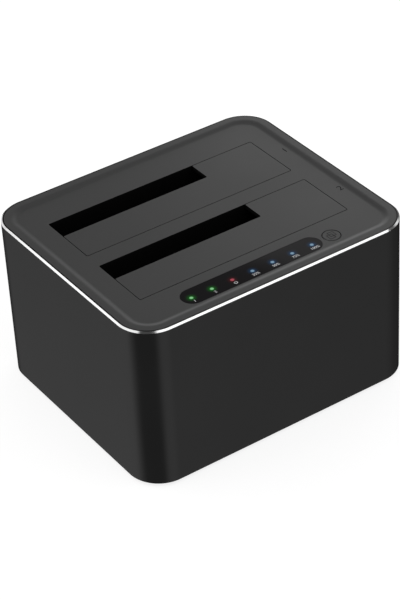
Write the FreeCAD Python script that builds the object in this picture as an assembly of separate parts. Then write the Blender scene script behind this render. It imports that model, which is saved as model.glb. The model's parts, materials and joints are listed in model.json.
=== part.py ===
import FreeCAD, Part
import math
import os

# Dual-bay drive duplicator: an aluminium sleeve with a dished plastic cover, two drive bays closed
# by sprung L-shaped flaps, a status window, a copy button and a recessed rear port panel.
# Millimetres. +X right, -Y front, +Z up. The origin is under the feet, at the middle of the plan.

V = FreeCAD.Vector
X_AXIS = V(1, 0, 0)
Y_AXIS = V(0, 1, 0)
Z_AXIS = V(0, 0, 1)

# ---- Driving dimensions -------------------------------------------------------------------
body_h = 78.0           # feet to rim
corner_r = 15.0         # plan corners of the sleeve
foot_proud = 1.5        # feet below the sleeve
end_room = 16.2         # from each end of a bay to the sleeve's outer face

wall = 2.4              # sleeve wall
rim_wall = 1.2          # wall left beside the cover and beside the base
edge_chamfer = 0.8      # bright edge round the top
under_chamfer = 0.4     # broken edge round the bottom
seat_gap = 0.1          # cover and base inside the sleeve

cover_t = 2.8           # cover at its rim
dish = 0.8              # how far the middle of the cover lies below the rim
step_in = 4.4           # outer edge of the soft step, from the sleeve's outer face
step_w = 1.6            # width of the soft step
step_r = 3.0            # rounding at the top and foot of the step
skirt_t = 1.2           # locating skirts of cover and base
skirt_gap = 0.2
cover_skirt_h = 4.0
base_t = 2.5
base_skirt_h = 3.0
web_t = 1.2             # webs that tie bosses to walls
merge = 0.4             # how far a rib or web is sunk in the wall that carries it
past = 1.0              # how far a cutter runs past the face that it opens

drive35_w = 101.6       # 3.5 inch drive, width and thickness
drive35_t = 26.1
drive25_w = 69.85       # 2.5 inch drive, width and greatest thickness that the slot takes
drive25_t = 9.5
bay_end_play = 1.0      # each end of a 3.5 inch drive
bay_side_play = 0.2     # between a 3.5 inch drive and the folded flap
bay_corner_r = 0.8
slot_end_play = 2.65    # in the 2.5 inch slot, along X
slot_side_play = 2.2    # in the 2.5 inch slot, along Y

flap_t = 1.8
flap_gap = 0.3
flap_corner_r = 0.6
hinge_in = 1.8          # hinge axis from the front edge of the bay
hinge_drop = 2.1        # hinge axis below the top of the flap
knuckle_r = 1.5
knuckle_w = 8.0
knuckle_from_end = 4.2  # middle of the end knuckles from the ends of the flap
inner_knuckle_x = 16.0
pin_r = 0.8
pin_grip = 4.0          # pin length held in the cover at each end
pin_run = 0.06          # running clearance of the flap on its pin
pin_seat = 0.02         # clearance of the pin in the cover
pin_end_gap = 0.1
pin_boss_wall = 1.2     # plastic left round the end of a pin
spring_x = 33.0         # where the coil starts
spring_wire_r = 0.175
spring_turns = 3
spring_pitch = 0.55
spring_r = 1.15         # middle of the wire
spring_pocket_r = 1.5
spring_pocket_gap = 0.8 # each end of the coil
flap_leg = 6.96         # leg under the flap
wall_leg = 8.2          # leg against the well
wall_leg_at = -20.0     # degrees round the pin at which each leg leaves the coil
flap_leg_at = -80.0
lip_w = 12.0            # stop lip under the free edge
lip_root = 2.2
lip_reach = 0.7         # lip under the cover
lip_lean = 0.5          # slope of the lip's nose
lip_t = 1.2
lip_gap = 0.05
lip_notch_h = 10.0      # notch for the lip in the well, below the cover
flap_rib_h = 0.8
flap_rib_w = 1.0
flap_rib_back = 1.5     # ribs end this far from the free edge
flap_rib_front = 3.0    # and start this far behind the hinge axis

well_gap = 0.2          # well wall behind the edge of the bay
well_wall = 1.8
well_floor_t = 2.0
well_corner_r = 1.5
well_ribs = 4           # on each long side
well_rib_pitch = 24.0
well_rib_t = 1.2
well_rib_out = 1.2
well_rib_drop = 1.5     # ribs end this far below the cover
wells_apart = 2.4       # between the ribs of the two wells
ear_w = 8.0
ear_t = 2.2
ear_r = 2.5
ear_rim = 0.4           # ear past its boss
ear_in = 0.8            # bosses nearer to the well than to the skirt
ear_from_mid = 5.0
gusset_t = 1.4
gusset_h = 6.0
gusset_out = 2.6
well_boss_r = 3.0
well_boss_h = 5.0

board_t = 1.6
board_corner_r = 1.5
board_stand = 5.0       # under the main board
under_well = 7.4        # between the main board and the wells
board_front_in = 11.5   # main board from the sleeve's outer faces
board_back_in = 5.5
board_to_post = 4.5
board_hole_x_in = 5.0
board_hole_y_in = 6.0
board_boss_r = 3.0

sata_stand = 5.0        # connector above the floor of the well
sata_from_edge = 30.12  # connector middle from the left edge of either drive
sata_from_face = 3.5    # connector middle from the board side of either drive
sata_l = 40.6
sata_t = 5.0
sata_lead_in = 0.5
sata_collar = 1.2       # collar round the foot, under the well
sata_collar_gap = 0.4
sata_gap = 0.3          # connector in the floor of the well
sata_slot_t = 1.5
sata_slot_depth = 6.0
sata_key_w = 1.3        # foot of each L-shaped slot
sata_key_t = 1.1
sata_slots = ((-17.2, -6.4), (-3.6, 17.6))      # signal and power slot, from the connector's middle
sata_rows = ((-16.2, 7), (-2.4, 15))            # first contact and number of contacts
sata_contact_pitch = 1.27
sata_contact_w = 0.6
sata_contact_t = 0.3
sata_contact_drop = 1.0

window_l = 68.0
window_w = 10.3
window_x = -5.0
window_in = 12.9        # middle of the window from the sleeve's front face
window_t = 1.5
window_gap = 0.1
led_pitch = 9.9
led_first_x = -35.0
led_in = 12.3
led_colours = ("green", "green", "red", "blue", "blue", "blue", "blue")
pipe_r = 0.9
pipe_gap = 0.05         # round a pipe, in the window
pipe_slot_gap = 0.6     # round the pipes, in the cover
led_chip_l = 3.2
led_chip_w = 2.8
led_chip_h = 0.8

button_r = 3.8
button_gap = 0.3
button_x = 34.75
button_in = 12.7
button_chamfer = 0.2
button_flange = 1.0     # flange under the cover: its thickness and how far it stands out
flange_gap = 0.1
plunger_r = 1.75
plunger_gap = 0.1
plunger_show = 1.0      # plunger above its switch
plunger_hold = 0.9      # plunger inside its switch
switch_w = 6.0
switch_well = 1.7       # depth of the plunger's hole

led_board_drop = 5.6    # led board below the cover
led_board_d = 12.8
led_board_end = 2.5     # board past its screws
led_boss_r = 2.5
led_boss_to_button = 1.0
led_screw_roof = 0.6    # cover left over the screws of the led board
board_to_well = 1.1     # led board to the ribs of the front well
ribbon_w = 12.0
ribbon_t = 0.3
ribbon_bend = 9.0
ribbon_in = 1.2         # ribbon's ends from the boards
ribbon_low_in = 4.0     # ribbon behind the main board's front edge
ribbon_high_in = 2.4    # ribbon in front of the led board's middle
connector_h = 3.4
connector_d = 3.2
connector_end = 2.0     # socket past each edge of the ribbon
connector_floor = 1.1
connector_gap = 0.05

post_x_in = 10.0        # cover posts from the sleeve's outer faces
post_y_in = 11.5
post_r = 3.5
post_bore = 9.0
base_boss_h = 4.0

vent_w = 2.0
vent_l = 22.0
vent_pitch = 6.0
vent_count = 9
vent_bank_y = 17.0

foot_r = 6.0
foot_seat = 1.0
foot_gap = 0.1
foot_x_in = 21.0
foot_y_in = 21.0

port_up = 6.5           # port axes above the main board
port_panel_w = 62.0
port_panel_h = 18.6
port_panel_r = 2.0
port_recess = 1.0       # panel face behind the sleeve's outer face
port_flange = 1.5       # flange behind the opening: thickness, and how far it stands out
port_flange_out = 2.0
port_gap = 0.15
mouth_in = 0.2          # mouths of the ports behind the panel's face
lug_x = 18.0            # lugs on the base that hold the flange
lug_w = 10.0
lug_h = 3.5
lug_t = 1.4
usb_x = 0.0
usb_w = 12.0
usb_h = 12.4
usb_l = 17.4
usb_gap = 0.2
usb_leg_in = 6.0        # legs behind the mouth
usb_floor = 0.9
usb_depth = 13.0
usb_mouth_w = 8.6       # square lower part of the mouth
usb_mouth_side = 5.6
usb_mouth_slope = 7.2
usb_mouth_h = 10.4
usb_mouth_top = 5.8     # narrow upper part
usb_plug_t = 2.5
usb_tongues = ((5.6, 2.2, 5.2), (4.4, 7.9, 9.3))    # width, bottom and top of each tongue
usb_tongue_in = 2.0
port_to_well = 0.4      # usb port to the ribs of the rear well
dc_x = 21.0
dc_l = 14.0
dc_body = 9.6           # square of the jack's body
dc_sleeve_r = 4.4
dc_gap = 0.2
dc_bore_r = 3.15
dc_bore = 10.5
dc_pin_r = 1.05
dc_pin_in = 1.0
power_x = -21.0
power_cap_r = 4.0
power_gap = 0.3
power_proud = 0.7       # cap past the panel's face
power_travel = 2.0
power_flange = 1.0      # flange behind the panel: its thickness and how far it stands out
power_rest_gap = 0.5    # flange to the switch when pressed home
power_stem_r = 1.85
power_stem_gap = 0.15
power_stem = 6.5
power_switch_w = 8.4
power_switch_l = 11.0
power_switch_bore = 7.0

chip_h = 1.2
chips = ((22.0, "a", -8.2, 10.0), (22.0, "b", 0.8, 8.0))    # X, bay, Y from the bay's middle, side
can_r = 4.0
can_h = 11.0
can_foot_h = 0.8
can_foot = 8.2
can_xs = (-34.0, 33.0)
can_back_in = 6.0
inductor_x = 38.0
inductor_from_mid = 3.8
inductor_w = 7.4
inductor_h = 4.2
crystal_x = 8.0
crystal_from_mid = -8.2
crystal_l = 11.0
crystal_w = 4.6
crystal_h = 3.4

screw_r = 1.5           # M3 screws
screw_head_r = 2.75
screw_head_h = 2.0
screw_bite = 8.5        # thread in the post
small_screw_r = 1.0     # M2 screws
small_head_r = 1.9
small_head_h = 1.3
small_bite = 4.0        # thread in the boss
small_bore = 4.4
screw_clear = 0.2
head_clear = 0.25
head_sink = 0.4         # heads of the base screws inside the base
screw_seat = 0.03

# ---- Levels and places that follow ------------------------------------------------------------
sleeve_z = foot_proud
cover_under = body_h - cover_t
dish_z = body_h - dish
base_top = sleeve_z + base_t
board_z = base_top + board_stand
board_top = board_z + board_t
floor_z = board_top + under_well + well_floor_t
post_foot_z = base_top + base_boss_h
port_z = board_top + port_up

bay_w = drive35_w + 2 * bay_end_play
bay_d = drive35_t + bay_side_play + hinge_in + hinge_drop
slot_w = drive25_w + slot_end_play
slot_d = drive25_t + slot_side_play
well_out = well_gap + well_wall + well_rib_out      # well past the edge of its bay

# From front to back: window and led board, front bay, bar, rear bay, ports.
front_strip = window_in + led_board_d / 2 + board_to_well + well_out
bay_bar = 2 * well_out + wells_apart
rear_room = port_recess + mouth_in + usb_l + port_to_well + well_out
body_w = bay_w + 2 * end_room
body_d = front_strip + 2 * bay_d + bay_bar + rear_room
front_face = -body_d / 2
back_face = body_d / 2
bays = {"a": back_face - rear_room - bay_d / 2, "b": front_face + front_strip + bay_d / 2}

axis_z = dish_z - hinge_drop
flap_under = dish_z - flap_t
flap_end = bay_w / 2 - flap_gap
slot_x = -bay_w / 2 + slot_w
lip_x = (slot_x + flap_end) / 2
well_in_w = bay_w + 2 * well_gap
well_in_d = bay_d + 2 * well_gap
well_out_w = well_in_w + 2 * well_wall
well_out_d = well_in_d + 2 * well_wall
skirt_inset = wall + skirt_gap
ear_x = (well_out_w / 2 + body_w / 2 - skirt_inset - skirt_t) / 2 - ear_in
ear_top = cover_under - well_boss_h
sata_x = -bay_w / 2 + (bay_end_play + slot_end_play / 2) / 2 + sata_from_edge
sata_from_back = bay_side_play / 2 + sata_from_face
sata_top = floor_z + sata_stand

inner_back = back_face - wall
panel_face = back_face - port_recess
mouth_y = panel_face - mouth_in
flange_face = inner_back - port_flange
posts = [(sx * (body_w / 2 - post_x_in), sy * (body_d / 2 - post_y_in)) for sx in (-1, 1) for sy in (-1, 1)]
feet = [(sx * (body_w / 2 - foot_x_in), sy * (body_d / 2 - foot_y_in)) for sx in (-1, 1) for sy in (-1, 1)]

board_w = body_w - 2 * (post_x_in + post_r + board_to_post)
board_front_y = front_face + board_front_in
board_back_y = back_face - board_back_in
board_hole_ys = (board_front_y + board_hole_y_in, board_back_y - board_hole_y_in)
board_holes = [(sx * (board_w / 2 - board_hole_x_in), y) for sx in (-1, 1) for y in board_hole_ys]

window_y = front_face + window_in
led_y = front_face + led_in
button_y = front_face + button_in
led_xs = [led_first_x + led_pitch * i for i in range(len(led_colours))]
led_board_top = cover_under - led_board_drop
led_board_z = led_board_top - board_t
led_board_y = window_y
led_boss_x = button_x + button_r + button_flange + led_boss_to_button + led_boss_r
led_board_l = 2 * (led_boss_x + led_board_end)
led_bosses = [(-led_boss_x, led_board_y), (led_boss_x, led_board_y)]
button_flange_top = cover_under - flange_gap
switch_top = button_flange_top - button_flange - plunger_show
ribbon_low_y = board_front_y + ribbon_low_in
ribbon_high_y = led_board_y - ribbon_high_in


# ---- Helpers ----------------------------------------------------------------------------------
def box(x0, x1, y0, y1, z0, z1):
    """Block between two corners, given in any order."""
    low = V(min(x0, x1), min(y0, y1), min(z0, z1))
    return Part.makeBox(abs(x1 - x0), abs(y1 - y0), abs(z1 - z0), low)


def upright(r, z0, z1, x, y):
    return Part.makeCylinder(r, z1 - z0, V(x, y, z0), Z_AXIS)


def along_x(r, x0, x1, y, z):
    return Part.makeCylinder(r, x1 - x0, V(x0, y, z), X_AXIS)


def along_y(r, y0, y1, x, z):
    return Part.makeCylinder(r, y1 - y0, V(x, y0, z), Y_AXIS)


def rounded_wire(w, d, r, z, x=0.0, y=0.0):
    """Rounded rectangle, w by d, centred on x, y at height z."""
    arcs = []
    for turn, (sx, sy) in enumerate(((1, 1), (-1, 1), (-1, -1), (1, -1))):
        centre = V(x + sx * (w / 2 - r), y + sy * (d / 2 - r), z)
        arcs.append(Part.makeCircle(r, centre, Z_AXIS, 90 * turn, 90 * turn + 90))
    edges = []
    for arc, following in zip(arcs, arcs[1:] + arcs[:1]):
        edges.append(arc)
        start = arc.valueAt(arc.LastParameter)
        end = following.valueAt(following.FirstParameter)
        if (end - start).Length > 1e-6:
            edges.append(Part.makeLine(start, end))
    return Part.Wire(edges)


def prism(w, d, r, z0, z1, x=0.0, y=0.0):
    return Part.Face(rounded_wire(w, d, r, z0, x, y)).extrude(V(0, 0, z1 - z0))


def inset_prism(inset, z0, z1):
    """Prism of the sleeve's outline, moved in by inset."""
    return prism(body_w - 2 * inset, body_d - 2 * inset, corner_r - inset, z0, z1)


def ring(inset, thickness, z0, z1):
    return inset_prism(inset, z0, z1).cut(inset_prism(inset + thickness, z0, z1))


def edges_at(shape, z, inset=0.0):
    """Edges that lie whole at height z, at least inset in from the sleeve's outline."""
    half_w = body_w / 2 - inset
    half_d = body_d / 2 - inset
    found = []
    for edge in shape.Edges:
        b = edge.BoundBox
        level = abs(b.ZMin - z) < 1e-4 and abs(b.ZMax - z) < 1e-4
        inside = max(-b.XMin, b.XMax) <= half_w + 1e-4 and max(-b.YMin, b.YMax) <= half_d + 1e-4
        if level and inside:
            found.append(edge)
    return found


def screw(x, y, z, length, r, head_r, head_h, up=1):
    """Pan-head screw. z is under the head, and the shank runs up (1) or down (-1) from there."""
    shank = Part.makeCylinder(r, length, V(x, y, z), V(0, 0, up))
    head = Part.makeCylinder(head_r, head_h, V(x, y, z - up * head_h), V(0, 0, up))
    return head.fuse(shank).removeSplitter()


def small_screw(x, y, z, grip, up=1):
    """M2 screw that clamps a plate of thickness grip to its boss."""
    return screw(x, y, z, grip + small_bite, small_screw_r, small_head_r, small_head_h, up)


def six_sided(centre, normal, r):
    """Hexagonal wire of corner radius r, square to normal."""
    side = normal.cross(V(0.3, 0.2, 1)).normalize()
    up = normal.cross(side)
    points = []
    for i in range(6):
        angle = math.pi * i / 3
        points.append(centre + side * (r * math.cos(angle)) + up * (r * math.sin(angle)))
    return Part.makePolygon(points + points[:1])


def group(solids):
    return solids[0] if len(solids) == 1 else Part.makeCompound(solids)


# ---- Sleeve, cover and base ---------------------------------------------------------------------
def aluminium_shell():
    outer = inset_prism(0, sleeve_z, body_h)
    outer = outer.makeChamfer(edge_chamfer, edges_at(outer, body_h))
    outer = outer.makeChamfer(under_chamfer, edges_at(outer, sleeve_z))
    hollow = inset_prism(wall, sleeve_z, body_h)
    cover_seat = inset_prism(rim_wall, cover_under, body_h)
    base_seat = inset_prism(rim_wall, sleeve_z, base_top)
    return outer.cut([hollow, cover_seat, base_seat, port_window(0.0, inner_back - past, back_face + past)])


def port_window(gap, y0, y1):
    """Rounded block of the rear port opening, made smaller by gap."""
    block = prism(port_panel_w - 2 * gap, port_panel_h - 2 * gap, port_panel_r, 0, y1 - y0)
    block.rotate(V(0, 0, 0), X_AXIS, -90)
    block.translate(V(0, y0, port_z))
    return block


def dished_plate():
    """Cover plate with its flat rim, soft step and dished middle."""
    inset = rim_wall + seat_gap
    plate = inset_prism(inset, cover_under, body_h)
    top = step_in
    foot = step_in + step_w
    slope = Part.makeLoft(
        [
            rounded_wire(body_w - 2 * top, body_d - 2 * top, corner_r - top, body_h),
            rounded_wire(body_w - 2 * foot, body_d - 2 * foot, corner_r - foot, dish_z),
        ],
        True,
        True,
    )
    plate = plate.cut(slope)
    soft = edges_at(plate, body_h, step_in) + edges_at(plate, dish_z)
    return plate.makeFillet(step_r, soft)


def top_cover():
    cover = dished_plate()
    added = [ring(skirt_inset, skirt_t, cover_under - cover_skirt_h, cover_under)]
    for x, y in posts:
        added.append(upright(post_r, post_foot_z, cover_under, x, y))
        added.extend(post_webs(x, y))
    for x, y in led_bosses:
        added.append(upright(led_boss_r, led_board_top, cover_under, x, y))
    for x, y in well_screw_places():
        added.append(upright(well_boss_r, ear_top, cover_under, x, y))
    for mid in bays.values():
        added.extend([pin_boss(-1, mid), pin_boss(1, mid)])
    cover = cover.fuse(added)
    removed = [window_pocket(), pipe_slot()]
    removed.append(upright(button_r + button_gap, cover_under - past, body_h, button_x, button_y))
    bore_r = small_screw_r + screw_seat
    for x, y in posts:
        removed.append(upright(screw_r + screw_seat, post_foot_z - past, post_foot_z + post_bore, x, y))
    for x, y in led_bosses:
        removed.append(upright(bore_r, led_board_top - past, cover_under - led_screw_roof, x, y))
    for x, y in well_screw_places():
        removed.append(upright(bore_r, ear_top - past, ear_top + small_bore, x, y))
    for mid in bays.values():
        removed.append(prism(bay_w, bay_d, bay_corner_r, cover_under - cover_skirt_h, body_h, 0, mid))
        reach = bay_w / 2 + pin_grip
        removed.append(along_x(pin_r + pin_seat, -reach, reach, hinge_y(mid), axis_z))
    return cover.cut(removed).removeSplitter()


def hinge_y(mid):
    """Hinge axis of the bay whose middle is at mid."""
    return mid - bay_d / 2 + hinge_in


def well_screw_places():
    return [(side * ear_x, mid + ear_from_mid) for mid in bays.values() for side in (-1, 1)]


def window_pocket():
    """Pocket that the status window drops into."""
    w = window_l + 2 * window_gap
    d = window_w + 2 * window_gap
    return prism(w, d, d / 2, dish_z - window_t, body_h, window_x, window_y)


def pipe_slot():
    """Slot in the floor of the window's pocket that all the light pipes come up through."""
    r = pipe_r + pipe_slot_gap
    length = led_xs[-1] - led_xs[0] + 2 * r
    return prism(length, 2 * r, r, cover_under - past, dish_z - window_t, (led_xs[0] + led_xs[-1]) / 2, led_y)


def post_webs(x, y):
    """Two webs that tie a corner post to the skirt of the cover."""
    low = cover_under - cover_skirt_h
    edge_x = math.copysign(body_w / 2 - skirt_inset - skirt_t / 2, x)
    edge_y = math.copysign(body_d / 2 - skirt_inset - skirt_t / 2, y)
    half = web_t / 2
    inside = inset_prism(skirt_inset + merge, low, cover_under)
    along = box(x, edge_x, y - half, y + half, low, cover_under)
    across = box(x - half, x + half, y, edge_y, low, cover_under)
    return [along.common(inside), across.common(inside)]


def pin_boss(side, mid):
    """Block at one end of a bay that holds the end of the hinge pin."""
    y = hinge_y(mid)
    root = side * bay_w / 2
    tip = side * (bay_w / 2 + pin_grip + pin_boss_wall)
    half = pin_r + pin_boss_wall
    return box(root, tip, y - half, y + half, axis_z - half, cover_under)


def base_plate():
    base = inset_prism(rim_wall + seat_gap, sleeve_z, base_top)
    base = base.fuse(ring(skirt_inset, skirt_t, base_top, base_top + base_skirt_h))
    base = base.cut(panel_bed())
    added = []
    for x, y in posts:
        added.append(upright(post_r, base_top, post_foot_z, x, y))
    for x, y in board_holes:
        added.append(upright(board_boss_r, base_top, board_z, x, y))
    lug_back = flange_face - flange_gap
    half = lug_w / 2
    for x in (-lug_x, lug_x):
        added.append(box(x - half, x + half, lug_back - lug_t, lug_back, base_top, base_top + lug_h))
    base = base.fuse(added)
    removed = [vent(x, y) for x in vent_xs() for y in (-vent_bank_y, vent_bank_y)]
    for x, y in posts:
        removed.append(upright(screw_r + screw_clear, sleeve_z - past, post_foot_z + past, x, y))
        removed.append(upright(screw_head_r + head_clear, sleeve_z - past, base_head_z(), x, y))
    for x, y in feet:
        removed.append(upright(foot_r + foot_gap, sleeve_z - past, sleeve_z + foot_seat, x, y))
    for x, y in board_holes:
        removed.append(upright(small_screw_r + screw_seat, board_z - small_bore, board_z + past, x, y))
    return base.cut(removed).removeSplitter()


def base_head_z():
    """Level that the heads of the base screws bear on."""
    return sleeve_z + screw_head_h + head_sink


def panel_bed():
    """Gap in the base's skirt for the flange of the rear port panel."""
    half = port_panel_w / 2 + port_flange_out + past
    return box(-half, half, flange_face - flange_gap, inner_back, base_top, base_top + base_skirt_h + past)


def vent_xs():
    return [vent_pitch * (i - (vent_count - 1) / 2) for i in range(vent_count)]


def vent(x, y):
    low = sleeve_z - past
    return box(x - vent_w / 2, x + vent_w / 2, y - vent_l / 2, y + vent_l / 2, low, base_top + past)


def rubber_feet():
    return group([upright(foot_r, 0, sleeve_z + foot_seat, x, y) for x, y in feet])


# ---- Bays: wells, flaps, pins and springs -----------------------------------------------------------
def drive_well(mid):
    bottom = floor_z - well_floor_t
    outer = prism(well_out_w, well_out_d, well_corner_r + well_wall, bottom, cover_under, 0, mid)
    hollow = prism(well_in_w, well_in_d, well_corner_r, floor_z, cover_under, 0, mid)
    added = []
    for i in range(well_ribs):
        x = well_rib_pitch * (i - (well_ribs - 1) / 2)
        for side in (-1, 1):
            root = mid + side * (well_out_d / 2 - merge)
            tip = mid + side * (well_out_d / 2 + well_rib_out)
            top = cover_under - well_rib_drop
            added.append(box(x - well_rib_t / 2, x + well_rib_t / 2, root, tip, bottom, top))
    for side in (-1, 1):
        added.extend([ear(side, mid + ear_from_mid), ear_gusset(side, mid + ear_from_mid)])
    well = outer.fuse(added).cut(hollow)
    removed = [sata_window(mid), lip_notch(mid), pin_notch(-1, mid), pin_notch(1, mid)]
    for side in (-1, 1):
        hole = upright(small_screw_r + screw_clear, ear_top - ear_t - past, ear_top + past, side * ear_x,
                       mid + ear_from_mid)
        removed.append(hole)
    return well.cut(removed).removeSplitter()


def ear(side, y):
    """Screw ear at one end of a well, with rounded outer corners."""
    tip = side * (ear_x + well_boss_r + ear_rim)
    plate = box(side * (well_out_w / 2 - merge), tip, y - ear_w / 2, y + ear_w / 2, ear_top - ear_t, ear_top)
    corners = []
    for edge in plate.Edges:
        b = edge.BoundBox
        if b.ZLength > ear_t / 2 and abs(b.Center.x - tip) < 1e-6:
            corners.append(edge)
    return plate.makeFillet(ear_r, corners)


def lip_notch(mid):
    """Notch in the rear wall of a well, for the stop lip of its flap."""
    half = lip_w / 2 + 2 * flap_gap
    back = mid + bay_d / 2
    low = cover_under - lip_notch_h
    return box(lip_x - half, lip_x + half, back, back + lip_reach + 2 * flap_gap, low, cover_under)


def pin_notch(side, mid):
    """Notch in the end of a well, round the block that holds the hinge pin."""
    half = pin_r + pin_boss_wall + well_gap
    root = side * (well_in_w / 2 - merge)
    tip = side * (well_out_w / 2 + merge)
    y = hinge_y(mid)
    return box(root, tip, y - half, y + half, axis_z - half, cover_under)


def ear_gusset(side, y):
    """Triangular web under an ear, against the end of the well."""
    top = ear_top - ear_t
    root = side * (well_out_w / 2 - merge)
    tip = side * (well_out_w / 2 + gusset_out)
    start = y + ear_w / 2 - gusset_t
    corners = [V(root, start, top), V(tip, start, top), V(root, start, top - gusset_h)]
    return Part.Face(Part.makePolygon(corners + corners[:1])).extrude(V(0, gusset_t, 0))


def sata_window(mid):
    """Hole in the floor of a well that its connector stands up through."""
    w = sata_l + 2 * sata_gap
    d = sata_t + 2 * sata_gap
    return prism(w, d, sata_lead_in, floor_z - well_floor_t - past, floor_z + past, sata_x, sata_y(mid))


def sata_y(mid):
    return mid + bay_d / 2 - sata_from_back


def flap_outline(mid):
    """L-shaped outline of a flap, counter-clockwise from its front left corner."""
    front = mid - bay_d / 2 + flap_gap
    back = mid + bay_d / 2 - flap_gap
    slot_y = mid + bay_d / 2 - slot_d
    return [(-flap_end, front), (flap_end, front), (flap_end, back), (slot_x, back), (slot_x, slot_y),
            (-flap_end, slot_y)]


def bay_flap(mid):
    corners = [V(x, y, flap_under) for x, y in flap_outline(mid)]
    plate = Part.Face(Part.makePolygon(corners + corners[:1])).extrude(V(0, 0, flap_t))
    uprights = [e for e in plate.Edges if e.BoundBox.ZLength > flap_t / 2]
    plate = plate.makeFillet(flap_corner_r, uprights)
    end_knuckle_x = flap_end - knuckle_from_end
    added = [stop_lip(mid)]
    for x in (-end_knuckle_x, -inner_knuckle_x, inner_knuckle_x, end_knuckle_x):
        added.append(along_x(knuckle_r, x - knuckle_w / 2, x + knuckle_w / 2, hinge_y(mid), axis_z))
    added.extend(flap_ribs(-flap_end, slot_x, 3, hinge_y(mid), mid + bay_d / 2 - slot_d))
    added.extend(flap_ribs(slot_x, flap_end, 2, hinge_y(mid), mid + bay_d / 2 - flap_gap))
    bore = along_x(pin_r + pin_run, -flap_end - past, flap_end + past, hinge_y(mid), axis_z)
    pocket_start = spring_x - spring_pocket_gap
    pocket_end = spring_x + spring_turns * spring_pitch + spring_pocket_gap
    pocket = along_x(spring_pocket_r, pocket_start, pocket_end, hinge_y(mid), axis_z)
    return plate.fuse(added).cut([bore, pocket]).removeSplitter()


def flap_ribs(x0, x1, count, front, back):
    """Stiffening ribs under a flap, spread evenly from x0 to x1."""
    ribs = []
    for i in range(count):
        x = x0 + (x1 - x0) * (i + 0.5) / count
        ribs.append(box(x - flap_rib_w / 2, x + flap_rib_w / 2, front + flap_rib_front, back - flap_rib_back,
                        flap_under - flap_rib_h, flap_under + merge))
    return ribs


def stop_lip(mid):
    """Hooked lip on the free edge that stops the flap against the underside of the cover."""
    edge = mid + bay_d / 2 - flap_gap
    nose = mid + bay_d / 2 + lip_reach
    top = cover_under - lip_gap
    profile = [(edge - lip_root, flap_under + merge), (edge, flap_under + merge), (edge, top), (nose, top),
               (nose - lip_lean, top - lip_t), (edge - lip_root, top - lip_t)]
    corners = [V(lip_x - lip_w / 2, y, z) for y, z in profile]
    return Part.Face(Part.makePolygon(corners + corners[:1])).extrude(V(lip_w, 0, 0))


def flap_pin(mid):
    reach = bay_w / 2 + pin_grip - pin_end_gap
    pin = along_x(pin_r, -reach, reach, hinge_y(mid), axis_z)
    ends = [e for e in pin.Edges if e.BoundBox.XLength < 1e-4]
    return pin.makeChamfer(pin_r / 4, ends)


def flap_spring(mid):
    """Torsion spring on the pin. One leg bears up on the flap, the other on the well's front wall."""
    first = math.radians(wall_leg_at)
    last = math.radians(flap_leg_at) + 2 * math.pi * spring_turns
    rise = spring_pitch / (2 * math.pi)
    helix = Part.makeHelix(spring_pitch, rise * (last - first), spring_r)
    helix.rotate(V(0, 0, 0), Z_AXIS, wall_leg_at)

    def on_coil(angle):
        return V(spring_r * math.cos(angle), spring_r * math.sin(angle), rise * (angle - first))

    def heading(angle):
        return V(-spring_r * math.sin(angle), spring_r * math.cos(angle), rise).normalize()

    start = on_coil(first) - heading(first) * wall_leg
    end = on_coil(last) + heading(last) * flap_leg
    legs = [Part.makeLine(start, on_coil(first)), Part.makeLine(on_coil(last), end)]
    path = Part.Wire(legs[:1] + helix.Edges + legs[1:])
    section = six_sided(start, heading(first), spring_wire_r)
    wire = path.makePipeShell([section], True, False)
    wire.rotate(V(0, 0, 0), V(1, 1, 1), 120)
    wire.translate(V(spring_x, hinge_y(mid), axis_z))
    return wire


def sata_cuts(y):
    """The two L-shaped slots, signal then power, each with its key at the right end."""
    cuts = []
    low = sata_top - sata_slot_depth
    back = y + sata_slot_t / 2
    for x0, x1 in sata_slots:
        cuts.append(box(sata_x + x0, sata_x + x1, y - sata_slot_t / 2, back, low, sata_top + past))
        key_front = y - sata_slot_t / 2 - sata_key_t
        cuts.append(box(sata_x + x1 - sata_key_w, sata_x + x1, key_front, back, low, sata_top + past))
    return cuts


def sata_connector(mid):
    y = sata_y(mid)
    body = prism(sata_l, sata_t, sata_lead_in, board_top, sata_top, sata_x, y)
    body = body.makeChamfer(sata_lead_in, edges_at(body, sata_top))
    collar_top = floor_z - well_floor_t - sata_collar_gap
    collar_l = sata_l + 2 * sata_collar
    collar_t = sata_t + 2 * sata_collar
    collar = prism(collar_l, collar_t, sata_lead_in, board_top, collar_top, sata_x, y)
    return body.fuse(collar).cut(sata_cuts(y)).removeSplitter()


def sata_contacts(mid):
    """Seven signal and fifteen power contacts, standing against the back of their slots."""
    back = sata_y(mid) + sata_slot_t / 2
    low = sata_top - sata_slot_depth
    top = sata_top - sata_contact_drop
    half = sata_contact_w / 2
    solids = []
    for first, count in sata_rows:
        for i in range(count):
            x = sata_x + first + sata_contact_pitch * i
            solids.append(box(x - half, x + half, back - sata_contact_t, back, low, top))
    return group(solids)


# ---- Status window, button and led board -------------------------------------------------------------
def led_window():
    z0 = dish_z - window_t
    window = prism(window_l, window_w, window_w / 2, z0, dish_z, window_x, window_y)
    return window.cut([upright(pipe_r + pipe_gap, z0 - past, dish_z + past, x, led_y) for x in led_xs])


def light_pipes(colour):
    """Moulded light pipes that carry each led up to the face of the window."""
    low = led_board_top + led_chip_h
    solids = []
    for x, own in zip(led_xs, led_colours):
        if own == colour:
            solids.append(upright(pipe_r, low, dish_z, x, led_y))
    return group(solids)


def led_chips():
    top = led_board_top + led_chip_h
    half = led_chip_l / 2
    front = led_y - led_chip_w / 2
    back = led_y + led_chip_w / 2
    return group([box(x - half, x + half, front, back, led_board_top, top) for x in led_xs])


def led_board():
    board = prism(led_board_l, led_board_d, board_corner_r, led_board_z, led_board_top, 0, led_board_y)
    holes = [upright(small_screw_r + screw_clear, led_board_z - past, led_board_top + past, x, y)
             for x, y in led_bosses]
    return board.cut(holes)


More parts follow.
